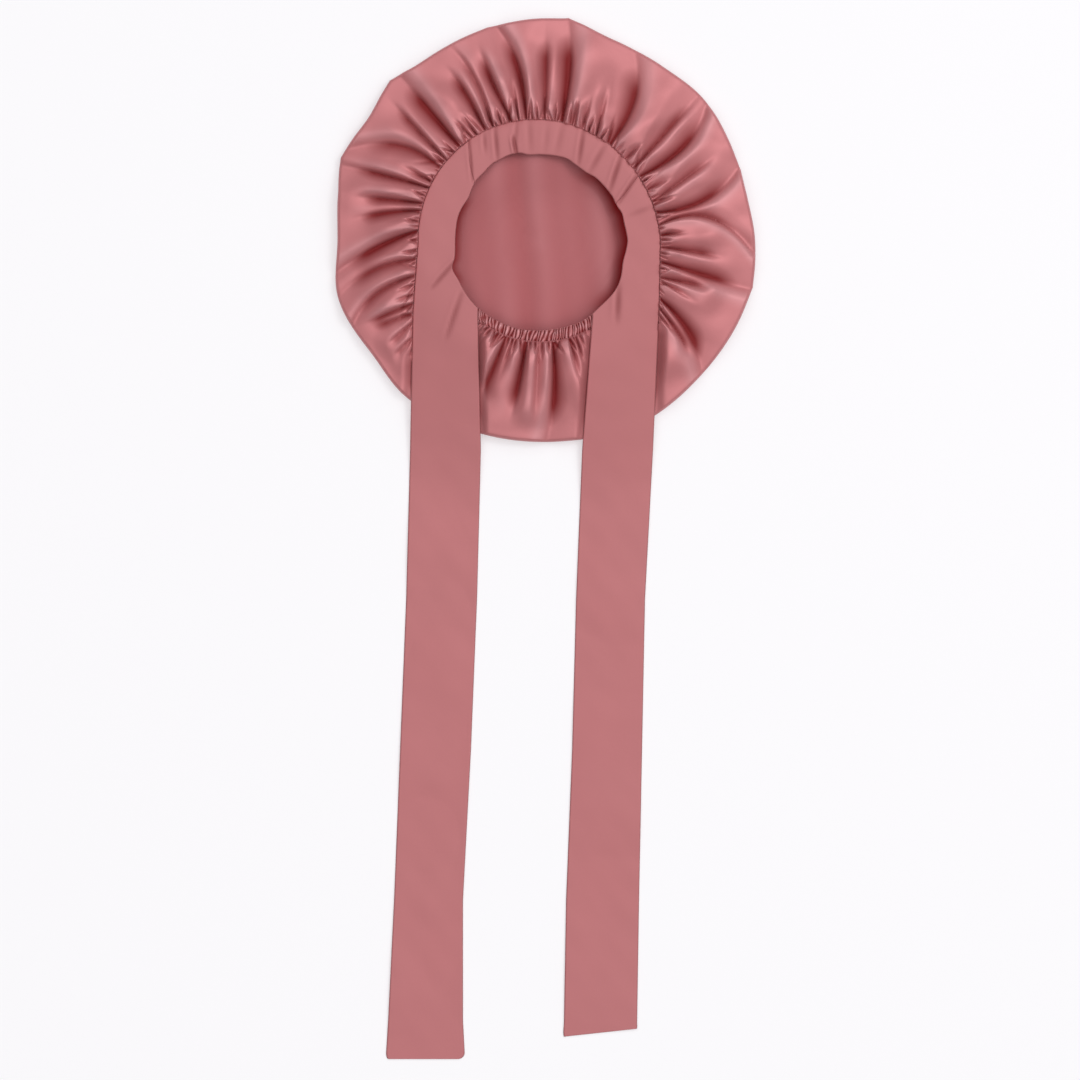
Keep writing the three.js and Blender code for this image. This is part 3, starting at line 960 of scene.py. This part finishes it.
    def _painted_crest_highlight(self, stand: Array) -> Array:
        """How strongly a highlight is painted on a ridge where it ends a valley.

        Args:
            stand: how much of the loft stands, all round one ring of points.

        Returns:
            The painted highlight at each point, 0 where the cloth is even.
        """
        steps = round(len(stand) * self.painted_highlight_reach / 360.0)
        beside = sum(np.roll(stand, -k) for k in range(1, steps + 1)) / steps
        return np.clip(self.painted_highlight_gain * (stand - beside), 0.0, self.painted_highlight_most) * stand

    @staticmethod
    def _angles(count: int) -> Array:
        """Even angles round the crown."""
        return np.arange(count) * 360.0 / count

    @staticmethod
    def _roll(top: Array, deg: Array, turns: Array, wall: float) -> list[Array]:
        """Rows round the rim, from under its top to the floor.

        Args:
            top: the last row of the top, from which the roll goes on.
            deg: angles of its points.
            turns: how far round the roll each row lies, in radians.
            wall: how far inside the roll's face the rows lie.

        Returns:
            The rows, each of x, y and z.
        """
        centre = PLAN.rim(deg) - PLAN.roll_radius
        half = top[:, 2] / 2
        rows = []
        for turn in turns:
            radius = centre + (PLAN.roll_radius - wall) * math.cos(turn)
            z = half + (half - wall) * math.sin(turn)
            rows.append(np.stack([*on_circle(radius, deg), z], axis=1))
        return rows

    def _outside(self, cloth: Cloth) -> list[Array]:
        """Adds the rows of the outer face, from the hem over the rim to the middle of the back.

        Args:
            cloth: the surface that they are added to.

        Returns:
            The numbers of their points, row by row.
        """
        full, half = self._angles(self.fine_columns), self._angles(self.fine_columns // 2)
        near = self.near_share * (np.arange(self.near_rows + 1) / self.near_rows) ** 1.35
        far = np.linspace(self.near_share, 1.0, self.far_rows + 1)[1:]
        rings = [cloth.ring(*self.top(full, np.full(len(full), t), True)) for t in (-1.0, -0.5, *near)]
        for t in far:
            last, shade = self.top(half, np.full(len(half), t), True)
            rings.append(cloth.ring(last, shade))
        turns = np.radians(np.linspace(70, -90, 11))
        rings += [cloth.ring(row) for row in self._roll(last, half, turns, 0.0)]
        return rings + self._back_rings(cloth, self.outer_back, self.outer_thins, False)

    def _inside(self, cloth: Cloth) -> list[Array]:
        """Adds the rows of the inner face, which stays plain under the small gathers.

        Args:
            cloth: the surface that they are added to.

        Returns:
            The numbers of their points, row by row.
        """
        full, half = self._angles(self.fine_columns), self._angles(self.fine_columns // 2)
        rings = []
        for t in (-1.0, 0.0, *np.linspace(0.03, 1.0, 26)):
            deg = full if t < 0 else half
            share = np.full(len(deg), t)
            row, _ = self.top(deg, share, False, smooth(share, 0.3, 0.6))
            drop = self.wall + self.seam_wall * (1 - smooth(share, 0.12, 0.4)) * (t > 0)
            rings.append(cloth.ring(self._below(row, deg, share, drop), self.inner_painted_light))
        base, _ = self.top(half, np.ones(len(half)), False)
        turns = np.radians([60, 30, 0, -30, -60, -90])
        rings += [cloth.ring(row, self.inner_painted_light) for row in self._roll(base, half, turns, 1.0)]
        return rings + self._back_rings(cloth, self.inner_back, self.inner_thins, True)

    def build(self) -> bpy.types.Object:
        """Builds the crown as one closed wall of cloth.

        Returns:
            The crown's object.
        """
        cloth = Cloth(self.name)
        low, high = (float(face[0]) for face in self._back(np.zeros(1), np.zeros(1)))
        outer = self._outside(cloth)
        cloth.skin(outer)
        cloth.cap(outer[-1], np.array([0.0, 0.0, low]))
        inner = self._inside(cloth)
        cloth.skin(inner, 1, flip=True)
        cloth.cap(inner[-1][::-1], np.array([0.0, 0.0, high]), 1)
        cloth.bridge(inner[0], outer[0])
        return cloth.make([CROWN_FACE.material(), CROWN_BACK.material()])

    def _below(self, row: Array, deg: Array, t: Array, drop: Array) -> Array:
        """A row of the top again, lowered by the wall's thickness square to the cloth.

        Args:
            row: x, y and z of the row.
            deg: angles of its points.
            t: their shares of the way from the seam to the rim.
            drop: the wall's thickness at each point.

        Returns:
            The lowered row.
        """
        turn, out_step = 0.25, 0.01
        side = self.top(deg + turn, t, False)[0] - self.top(deg - turn, t, False)[0]
        near = np.maximum(t - out_step, 0.0)
        out = self.top(deg, t + out_step, False)[0] - self.top(deg, near, False)[0]
        normal = np.cross(out, side)
        normal /= np.maximum(np.linalg.norm(normal, axis=1, keepdims=True), 1e-9)
        lowered = row.copy()
        lowered[:, 2] -= drop / np.clip(np.abs(normal[:, 2]), 0.45, 1.0)
        return lowered

    def _back(self, x: Array, y: Array) -> tuple[Array, Array]:
        """Heights of the back's outer and inner face.

        Args:
            x: across.
            y: from nape to front.

        Returns:
            The outer face, on the surface or lifted off it, and the inner face above it.
        """
        away = np.hypot(x, y)
        deg = np.degrees(np.arctan2(y, x)) % 360.0
        round_edge = smooth(away, 30.0, 76.0) * (1 - smooth(away, 84.0, 118.0))
        toward = 1 - smooth(np.abs(turn_between(deg, self.lift_middle)), 20.0, 72.0)
        lift = self.edge_lift * round_edge * toward
        lift = lift + self.back_fold * (1 - self._soft_folds(x, y)) * (1 - smooth(away, 110.0, 160.0))
        return np.maximum(lift - self.back_sink, 0.0), self.back_wall + lift

    @staticmethod
    def _soft_folds(x: Array, y: Array) -> Array:
        """Soft folds of the back, which run from nape to front.

        Args:
            x: across.
            y: from nape to front.

        Returns:
            0 on their crests and 1 between them.
        """
        bend = x + 0.06 * y + 2.0 * np.sin(y / 31.0)
        soft = 0.5 + 0.3 * np.sin(bend / 7.1 + 0.9) + 0.25 * np.sin(bend / 4.6 + 2.2)
        return np.clip(1 - soft * (0.8 + 0.2 * np.sin(y / 37.0 + x / 29.0)), 0.0, 1.0)

    def _painted_edge_shadow(self, x: Array, y: Array) -> Array:
        """How much painted shadow of the opening's edge falls on the back's inner face.

        Args:
            x: across.
            y: from nape to front.

        Returns:
            The strength of the painted shadow, 0 away from the edge.
        """
        deg = np.degrees(np.arctan2(y, x))
        edge = PLAN.opening(deg) - np.hypot(x, y)
        total = np.zeros(edge.shape)
        for place, near, far, reach, depth in self.edge_shadows:
            side = 1 - smooth(np.abs(turn_between(deg, place)), near, far)
            total += depth * side * (1 - smooth(edge, -2.0, reach))
        return total

    def _back_rings(
        self, cloth: Cloth, shares: tuple[float, ...], thins: tuple[float, ...], inside: bool
    ) -> list[Array]:
        """Adds the rings of one face of the back, from the rim inwards.

        Args:
            cloth: the surface that they are added to.
            shares: where each ring lies, from 0 in the middle to 1 at the rim.
            thins: the shares below which a ring has half as many points, and half again.
            inside: whether it is the inner face.

        Returns:
            The numbers of their points, ring by ring.
        """
        rings = []
        for share in shares:
            halvings = sum(share <= limit for limit in thins)
            deg = self._angles(self.fine_columns // 4 // 2**halvings)
            x, y = on_circle((PLAN.rim(deg) - PLAN.roll_radius) * share, deg)
            z = self._back(x, y)[1 if inside else 0]
            # Painted shadow of the opening's edge and painted shade in the soft folds, on the inner face
            # only.
            shade = self._painted_edge_shadow(x, y) + self.back_fold_shade * self._soft_folds(x, y)
            rings.append(cloth.ring(np.stack([x, y, z], axis=1), shade if inside else 0.0))
        return rings


# ---- Band --------------------------------------------------------------------------------
@dataclass(frozen=True)
class Drag:
    """A drag line across a band or tie: a shallow dent along a straight stretch."""

    start: tuple[float, float]
    end: tuple[float, float]
    depth: float
    width: float

    def dent(self, x: Array, y: Array) -> Array:
        """Depth of the dent at points of the plan.

        Args:
            x: across.
            y: from nape to front.

        Returns:
            The depth, a little below 0 along the raised side of the line.
        """
        a, b = np.array(self.start), np.array(self.end)
        along = b - a
        length = float(np.hypot(*along))
        px, py = x - a[0], y - a[1]
        t = np.clip((px * along[0] + py * along[1]) / length**2, 0.0, 1.0)
        off = (px * along[1] - py * along[0]) / length
        miss = np.hypot(px - t * along[0], py - t * along[1])
        ends = np.exp(-((np.maximum(miss**2 - off**2, 0.0)) / (self.width * 2.2) ** 2))
        raised = 0.55 * np.exp(-(((off - 1.9 * self.width) / self.width) ** 2))
        body = np.exp(-((off / self.width) ** 2)) - raised
        fade = 0.35 + 0.65 * np.sin(math.pi * np.clip(0.12 + 0.76 * t, 0, 1))
        return self.depth * body * ends * fade


def polar(deg: float, radius: float) -> tuple[float, float]:
    """A plan point from its angle and radius."""
    return radius * math.cos(math.radians(deg)), radius * math.sin(math.radians(deg))


BAND_DRAGS = [
    Drag(polar(69.0, 101.0), polar(65.0, 77.0), 0.75, 2.0),
    Drag(polar(56.5, 96.0), polar(55.3, 76.0), 0.5, 2.6),
    Drag(polar(46.5, 99.0), polar(38.0, 76.0), 0.85, 2.0),
    Drag(polar(17.5, 96.0), polar(16.8, 82.0), 0.35, 2.4),
    Drag(polar(79.5, 101.0), polar(80.0, 80.0), 0.25, 3.0),
    Drag(polar(86.5, 98.0), polar(87.0, 80.0), 0.22, 3.0),
    Drag(polar(118.3, 103.0), polar(121.0, 93.0), 0.5, 1.8),
    Drag(polar(112.3, 104.0), polar(117.2, 82.0), 0.7, 1.9),
    Drag(polar(105.0, 91.0), polar(105.6, 78.0), 1.4, 1.5),
    Drag(polar(101.5, 104.0), polar(104.5, 88.0), 0.4, 2.0),
    Drag(polar(95.5, 103.0), polar(96.3, 82.0), 0.3, 2.8),
    Drag(polar(125.9, 105.0), polar(137.5, 80.0), 0.7, 1.3),
    Drag(polar(34.3, 98.0), polar(27.3, 76.0), 0.8, 1.6),
    Drag((-75.3, -18.5), (-92.1, -37.9), 0.9, 1.6),
    Drag((-69.3, -47.4), (-80.1, -79.2), 0.8, 2.2),
    Drag((66.6, -41.5), (65.4, -64.0), 0.9, 2.4),
]


def dents(x: Array, y: Array) -> Array:
    """All drag lines at once."""
    return sum(drag.dent(x, y) for drag in BAND_DRAGS)


@dataclass
class FrontBand:
    """The front of the long strip, folded in half round the edge of the opening."""

    name: str = "front_band_cloth"
    columns: int = 360
    ply: float = 0.5
    height: float = 1.75
    width: float = 31.0
    overlap: float = 0.4
    puff: float = 0.4
    cut_width: float = 61.0
    bottom_rows: int = 8
    fold_rows: int = 7
    top_rows: int = 22
    gap: float = 0.15
    top_from: tuple[float, float] = (20.9, 21.6)
    ripple: Ripple = Ripple(0.12, 26.0, 31)
    end_fall: float = 0.5
    end_length: float = 1.4
    # Painted shade in the drag lines' dents, and a little painted shade over the whole band.
    drag_shade: float = 0.65
    plain_shade: float = 0.05

    def _rows(self, along: Array) -> list[Array]:
        """Rows of points along the band, from the hidden ply round the fold to the seam.

        Args:
            along: shares of the way from the right join to the left one.

        Returns:
            The rows, each of x, y and z.
        """
        out_deg = mix(PLAN.join_right[0], PLAN.join_left[0], along)
        in_deg = mix(PLAN.join_right[1], PLAN.join_left[1], along)
        inner, outer = PLAN.opening(in_deg), PLAN.band_outer(out_deg)
        floor = PLAN.seam_height + PLAN.ply_gap + self.ply / 2
        half = self.height / 2
        wide = outer + self.overlap - inner
        places = [(1.0 - k / self.bottom_rows, 0.0) for k in range(self.bottom_rows)]
        for turn in np.linspace(-0.5, -1.5, self.fold_rows) * math.pi:
            places.append((half * (1 + math.cos(turn)) / self.width, half * (1 + math.sin(turn))))
        for share in np.arange(1, self.top_rows + 1) / self.top_rows:
            puff = self.puff * math.sin(math.pi * share**0.8) - 0.5 * float(smooth(share, 0.8, 1.0))
            places.append((mix(half / self.width, 1.0, share), self.height + puff))
        rows = []
        for share, rise in places:
            x, y = on_circle(inner + wide * share, mix(in_deg, out_deg, share))
            rows.append(np.stack([x, y, np.full(len(along), floor + rise)], axis=1))
        return rows

    def build(self) -> bpy.types.Object:
        """Builds the band as a folded sheet with a thin wall.

        Returns:
            The band's object.
        """
        cloth = Cloth(self.name)
        along = np.linspace(self.gap / self.length, 1 - self.gap / self.length, self.columns)
        away = np.minimum(along, 1 - along) * self.length
        rings = []
        for row in self._rows(along):
            x, y = row[:, 0], row[:, 1]
            on_top = smooth(row[:, 2], *self.top_from)
            drag = dents(x, y)
            row[:, 2] += on_top * (self.ripple.at(x, y) - drag)
            row[:, 2] -= on_top * self.end_fall * (1 - smooth(away, 0.0, self.end_length))
            # Painted shade in the drag lines' dents and a little over the whole band.
            rings.append(cloth.ring(row, self.drag_shade * np.clip(drag, 0.0, 0.8) + self.plain_shade))
        cloth.skin(rings, closed=False, flip=True)
        piece = cloth.make([BAND_FACE.material()])
        solidify(piece, self.ply)
        return piece

    @property
    def length(self) -> float:
        """Length of the band along its middle."""
        turn = (sum(PLAN.join_left) - sum(PLAN.join_right)) / 2
        return math.radians(turn) * PLAN.strip_radius


def solidify(piece: bpy.types.Object, thickness: float) -> None:
    """Gives a sheet an even wall, half to either side.

    Args:
        piece: the sheet.
        thickness: the wall's thickness in millimetres.
    """
    wall = piece.modifiers.new("wall", "SOLIDIFY")
    wall.thickness = thickness * MM
    wall.offset = 0.0
    apply_modifiers(piece)


def apply_modifiers(piece: bpy.types.Object) -> None:
    """Applies every modifier of a piece, in order.

    Args:
        piece: the piece.
    """
    bpy.ops.object.select_all(action="DESELECT")
    bpy.context.view_layer.objects.active = piece
    piece.select_set(True)
    for modifier in list(piece.modifiers):
        bpy.ops.object.modifier_apply(modifier=modifier.name)
    piece.select_set(False)


# ---- Ties --------------------------------------------------------------------------------
@dataclass
class Tie:
    """Half of the long strip: sewn beside the opening, then a free flat tie of two plies."""

    side: Side
    name: str
    thickness: float = 1.5
    side_rows: int = 90
    straight_step: float = 2.5
    top_columns: int = 40
    bottom_columns: int = 14
    round_edge: float = 0.8
    gap: float = 0.15
    corner_outer: float = 2.5
    corner_inner: float = 6.0
    square_corner: float = 0.8
    slant: float = 6.9
    end_rows: int = 12
    soft_rows: float = 7 / 3
    wave_height: float = 0.8
    wave_length: float = 70.0
    wave_seed: int = 41
    wave_from: tuple[float, float] = (190.0, 260.0)
    sewn_plies: float = 0.5
    sewn_until: tuple[float, float] = (30.0, 90.0)
    ripple: Ripple = Ripple(0.12, 30.0, 51)
    # Painted shade in the drag lines' dents, and a little over the upper part of the tie.
    drag_shade: float = 0.6
    plain_shade: float = 0.05

    def _stations(self) -> list[tuple[tuple[float, float], tuple[float, float]]]:
        """Ends of the rows across the strip, from its seam to its free end.

        Returns:
            The outer and the inner end of each row, each as x and y.
        """
        left = self.side is Side.LEFT
        edge = -self.side.sign * math.degrees(self.gap / PLAN.opening_radius)
        join = PLAN.join_left if left else PLAN.join_right
        side, leave = (180.0, PLAN.casing_left) if left else (0.0, PLAN.casing_right - 360.0)
        rows = []
        for t in np.linspace(0.0, 1.0, self.side_rows // 2, endpoint=False):
            out_deg, in_deg = mix(join[0] + edge, side, t), mix(join[1] + edge, side, t)
            out = polar(out_deg, float(PLAN.band_outer(out_deg)))
            rows.append((out, polar(in_deg, float(PLAN.opening(in_deg)))))
        table = PLAN.edges[self.side]
        first = table[-1, 0]
        for t in np.linspace(0.0, 1.0, self.side_rows // 2, endpoint=False):
            deg = mix(side, leave, t)
            out = (float(PLAN.outer_x(self.side, first * t)), first * t)
            rows.append((out, polar(deg, float(PLAN.opening(deg)))))
        for y in np.arange(first, table[0, 0], -self.straight_step):
            out, inn = (float(PLAN.edge_x(self.side, y, column)) for column in (1, 2))
            rows.append(((out, y), (inn, y)))
        return rows

    def _finish_end(self, rows: list, box: tuple[Vector, Vector]) -> list:
        """Adds the free end: rounded corners on the left tie, a slanted square end on the right.

        Args:
            rows: the rows so far, each as its outer and its inner end.
            box: the least and the greatest corner of the tie's solid.

        Returns:
            The rows down to the free end.
        """
        left = self.side is Side.LEFT
        slant = 0.0 if left else self.slant
        square = (self.square_corner, self.square_corner)
        corner_out, corner_in = (self.corner_outer, self.corner_inner) if left else square
        bottom = box[0].y / MM + slant * 0.5
        start = bottom + max(corner_in, 1.2) + slant
        rows = [row for row in rows if row[0][1] > start + 1.0]
        for turn in np.linspace(0, math.pi / 2, self.end_rows):
            y = start - (start - bottom) * math.sin(turn)
            lean = slant * math.sin(turn) * 0.5
            away = self.side.sign * (1 - math.cos(turn))
            out = float(PLAN.edge_x(self.side, y + lean, 1)) - corner_out * away
            inn = float(PLAN.edge_x(self.side, y - lean, 2)) + corner_in * away
            rows.append(((out, y + lean), (inn, y - lean)))
        return rows

    def _shares(self) -> tuple[Array, Array]:
        """Where the points of a row lie, over the top ply and back under the lower one.

        Returns:
            Their shares of the way from the outer to the inner edge, and 1 over and -1 under.
        """
        count = self.top_columns + 1
        even = np.linspace(0, 1, count)
        top = mix(even, 0.5 - 0.5 * np.cos(math.pi * np.arange(count) / self.top_columns), 0.55)
        bottom = np.linspace(1, 0, self.bottom_columns + 1)[1:-1]
        return np.array([*top, *bottom]), np.repeat([1.0, -1.0], [len(top), len(bottom)])

    def build(self) -> bpy.types.Object:
        """Builds the tie as a flat closed strip with soft edges.

        Returns:
            The tie's object.
        """
        cloth = Cloth(self.name)
        rows = self._finish_end(self._stations(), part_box(self.side.value))
        outer, inner = (np.array([row[k] for row in rows]) for k in (0, 1))
        width = np.hypot(*(inner - outer).T)
        shares, sign = self._shares()
        loop = np.array([outer + (inner - outer) * share for share in shares])
        x, y = loop[..., 0], loop[..., 1]
        shares, sign = shares[:, None], sign[:, None]
        wave = waves(x, y * 0.6, self.wave_length, self.wave_seed + self.side.sign)
        wave = self.wave_height * np.clip(wave + 0.4, 0, 2) * smooth(-y, *self.wave_from)
        under = PLAN.lying(np.hypot(x, y), np.degrees(np.arctan2(y, x))) + wave
        edge = np.minimum(shares, 1 - shares) * width[None, :]
        full = np.sqrt(np.clip(1 - (1 - np.clip(edge / self.round_edge, 0, 1)) ** 2, 0, 1))
        half = (self.thickness + self.sewn_plies * (1 - smooth(-y, *self.sewn_until))) / 2
        drag = dents(x, y)
        rise = sign * half * full + np.where(sign > 0, (self.ripple.at(x, y) - drag) * full, 0.0)
        far = np.clip((len(rows) - 1 - np.arange(len(rows))) / self.soft_rows, 0.0, 1.0)
        z = under + half + rise * np.sqrt(1 - (1 - far) ** 2)[None, :]
        points = np.stack([x, y, z], axis=2)
        # Painted shade: a little over the upper part of the tie, fading downwards, and in the drag lines'
        # dents.
        plain = self.plain_shade * (1 - smooth(-y, 60.0, 220.0))
        shade = np.where(sign > 0, self.drag_shade * np.clip(drag, 0.0, 0.8), 0.0) + plain
        rings = [cloth.ring(points[:, k], shade[:, k]) for k in range(points.shape[1])]
        flip = self.side is Side.RIGHT
        cloth.skin(rings, flip=flip)
        for ring, turn in ((rings[0], flip), (rings[-1], not flip)):
            cloth.end(ring[::-1] if turn else ring)
        return cloth.make([BAND_FACE.material()])

    @property
    def length(self) -> float:
        """Length of the strip from its seam to its free end, along its middle."""
        turn = 180.0 - sum(PLAN.join_left) / 2 if self.side is Side.LEFT else sum(PLAN.join_right) / 2
        return math.radians(turn) * PLAN.strip_radius + abs(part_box(self.side.value)[0].y / MM)


# ---- Nape casing -------------------------------------------------------------------------
@dataclass
class NapeCasing:
    """The channel at the nape, shirred over its elastic."""

    name: str = "nape_casing_cloth"
    stations: int = 900
    around: int = 44
    middle_height: float = 18.3
    half_height: float = 2.1
    inner: float = 76.6
    outer: float = 87.5
    tucked: tuple[float, float] = (1.6, 1.8)
    pitch: float = 2.5
    pinch: float = 2.6
    fall: float = 1.2
    ragged: float = 3.2
    # Strength of the painted highlight on the puckers' crests.
    painted_crest_highlight: float = 0.9
    pucker_count: int = 90
    pucker_start: float = -110.0
    seed: int = 63
    wander: Ripple = Ripple(0.4, 6.0, 64)
    uneven: Ripple = Ripple(0.24, 8.0, 65)

    def _puckers(self, x: Array, y: Array) -> Array:
        """Height of the puckers, which run a little aslant across the channel.

        Args:
            x: across.
            y: from nape to front.

        Returns:
            0 in the pinches and 1 on the crests.
        """
        draw = np.random.default_rng(self.seed)
        middle = (self.inner + self.outer) / 2
        lean = x + 0.35 * (np.hypot(x, y) - middle) * np.cos(x * 0.045 + 0.4)
        arc = np.arcsin(np.clip(lean / (middle + 6.0), -1.0, 1.0)) * middle
        ticks = np.cumsum(self.pitch * draw.uniform(0.5, 1.6, self.pucker_count))
        along = arc - self.pucker_start + self.wander.at(x, y * 0.5)
        numbers = np.arange(self.pucker_count + 1.0)
        phase = np.interp(along, np.concatenate([[0.0], ticks]), numbers)
        crest = np.abs(np.sin(math.pi * phase)) ** 0.8
        return np.clip(crest * (1 - self.uneven.height + self.uneven.at(x, y)), 0.0, 1.0)

    def build(self) -> bpy.types.Object:
        """Builds the casing as a closed, finely puckered tube.

        Returns:
            The casing's object.
        """
        cloth = Cloth(self.name)
        left, right = PLAN.casing_left - self.tucked[0], PLAN.casing_right + self.tucked[1]
        deg = np.linspace(left, right, self.stations)
        turn = np.arange(self.around) * 2 * math.pi / self.around
        across, up = (np.sign(way) * np.abs(way) ** 0.8 for way in (np.cos(turn), np.sin(turn)))
        shift = 0.5 * (PLAN.opening(deg) - self.inner)[:, None]
        middle, half = (self.inner + self.outer) / 2, (self.outer - self.inner) / 2
        radius = middle + shift + (half - shift) * across
        x, y = on_circle(radius, deg[:, None])
        crest = self._puckers(x, y)
        ragged = 1 + self.ragged / radius * (crest - 0.7) * smooth(across, 0.4, 1.0)
        x, y = x * ragged, y * ragged
        pinch = (1 - crest) * smooth(up, 0.0, 0.5)
        z = self.middle_height + self.half_height * up - self.pinch * pinch
        z -= self.fall * smooth(across, 0.2, 1.0) * (up > 0)
        # Painted highlight on the puckers' crests and painted shade in their pinches.
        bright = self.painted_crest_highlight * smooth(crest, 0.65, 1.0) * (up > 0.3)
        shade = np.clip(pinch * 2.4 - 0.8, 0.0, 1.0) - bright
        points = np.stack([x, y, z], axis=2)
        rings = [cloth.ring(points[k], shade[k]) for k in range(self.stations)]
        cloth.skin(rings)
        cloth.end(rings[0])
        cloth.end(rings[-1][::-1])
        return cloth.make([CASING_FACE.material()])


# ---- Studio ------------------------------------------------------------------------------
@dataclass
class Studio:
    """A pale floor, a bright patch of sky to the upper right, and a camera straight above."""

    lens: float = 200.0
    sensor: float = 36.0
    view_width: float = 0.930
    view_centre: tuple[float, float] = (-0.0009, -0.2557)
    floor_size: float = 30.0
    floor_drop: float = 0.0002
    floor_colour: tuple[float, float, float, float] = (0.5, 0.495, 0.505, 1.0)
    floor_roughness: float = 0.7
    floor_specular: float = 0.1
    glow_colour: tuple[float, float, float, float] = (0.99, 0.98, 1.0, 1.0)
    glow: float = 0.46
    key_place: tuple[float, float, float] = (1.7, 1.0, 3.1)
    key_aim: tuple[float, float, float] = (0.0, -0.2, 0.0)
    key_size: float = 1.0
    key_power: float = 22.5
    sky_colour: tuple[float, float, float, float] = (1.0, 0.995, 1.0, 1.0)
    sky_low: float = 0.2
    sky_high: float = 1.6
    sky_edge: tuple[float, float] = (0.4, 0.98)
    sky_axis: tuple[float, float, float] = (0.12, 0.1, 0.985)

    def build(self) -> None:
        """Adds the floor, the lights, the sky and the camera."""
        self._floor()
        self._key_light()
        self._sky()
        self._camera()
        bpy.context.scene.view_settings.view_transform = "Standard"

    def _floor(self) -> None:
        """Adds the floor as a wide plate, which glows a little and so stays even."""
        bpy.ops.object.select_all(action="DESELECT")
        bpy.ops.mesh.primitive_plane_add(size=self.floor_size, location=(0, 0, -self.floor_drop))
        floor = bpy.context.active_object
        floor.name = "studio_floor"
        paint = bpy.data.materials.new("studio_floor_paint")
        graph = Graph(paint)
        place = graph.add("ShaderNodeTexCoord").outputs["Object"]
        grain = graph.noise(place, 3.0)
        shader = graph.add(
            "ShaderNodeBsdfPrincipled",
            {},
            {
                "Base Color": self.floor_colour,
                "Roughness": grain * 0.1 + self.floor_roughness,
                "Specular IOR Level": self.floor_specular,
                "Emission Color": self.glow_colour,
                "Emission Strength": self.glow,
            },
        )
        graph.add("ShaderNodeOutputMaterial", {}, {"Surface": shader.outputs[0]})
        floor.data.materials.append(paint)

    def _key_light(self) -> None:
        """Adds a square soft light aimed at the crown."""
        data = bpy.data.lights.new("key_light", "AREA")
        data.size = self.key_size
        data.energy = self.key_power
        light = bpy.data.objects.new("key_light", data)
        light.location = self.key_place
        aim = Vector(self.key_aim) - Vector(self.key_place)
        light.rotation_euler = aim.to_track_quat("-Z", "Y").to_euler()
        bpy.context.scene.collection.objects.link(light)

    def _sky(self) -> None:
        """Lights everything from all round, more so from the upper right."""
        world = bpy.data.worlds.new("studio_sky")
        graph = Graph(world)
        away = graph.add("ShaderNodeTexCoord").outputs["Generated"]
        facing = graph.add("ShaderNodeVectorMath", {"operation": "DOT_PRODUCT"}, {0: away, 1: self.sky_axis})
        strength = graph.value(
            "ShaderNodeMapRange",
            {"interpolation_type": "SMOOTHSTEP"},
            {
                "Value": facing.outputs["Value"],
                "From Min": self.sky_edge[0],
                "From Max": self.sky_edge[1],
                "To Min": self.sky_low,
                "To Max": self.sky_high,
            },
        )
        sky = graph.add("ShaderNodeBackground", {}, {"Color": self.sky_colour, "Strength": strength})
        graph.add("ShaderNodeOutputWorld", {}, {"Surface": sky.outputs[0]})
        bpy.context.scene.world = world

    def _camera(self) -> None:
        """Looks straight down, with the whole bonnet in view."""
        data = bpy.data.cameras.new("camera")
        data.lens = self.lens
        data.sensor_width = self.sensor
        camera = bpy.data.objects.new("camera", data)
        camera.location = (*self.view_centre, self.view_width * self.lens / self.sensor)
        bpy.context.scene.collection.objects.link(camera)
        bpy.context.scene.camera = camera


# ---- Assembly ----------------------------------------------------------------------------
def attach(piece: bpy.types.Object, node: str) -> None:
    """Puts a piece in the place of its solid.

    Args:
        piece: the finished piece.
        node: the solid that it stands for.
    """
    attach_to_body(piece, "root")
    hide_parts(node)
    LOG.info("%s: %d faces, stands for %s", piece.name, len(piece.data.polygons), node)


def write_sizes() -> None:
    """Brings the scene's transforms up to date."""
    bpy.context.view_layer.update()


def main() -> None:
    """Builds the bonnet piece by piece and the studio round it."""
    logging.basicConfig(level=logging.INFO, format="%(name)s: %(message)s")
    Studio().build()

    crown = Crown()
    crown_cloth = crown.build()
    attach(crown_cloth, "crown")
    casing_cloth = NapeCasing().build()
    attach(casing_cloth, "nape_casing")

    band = FrontBand()
    band_cloth = band.build()
    attach(band_cloth, "front_band")
    band.length * MM
    for side in Side:
        tie = Tie(side, f"{side.value}_cloth")
        tie_cloth = tie.build()
        attach(tie_cloth, side.value)
        tie.length * MM
    write_sizes()


if __name__ == "__main__":
    main()
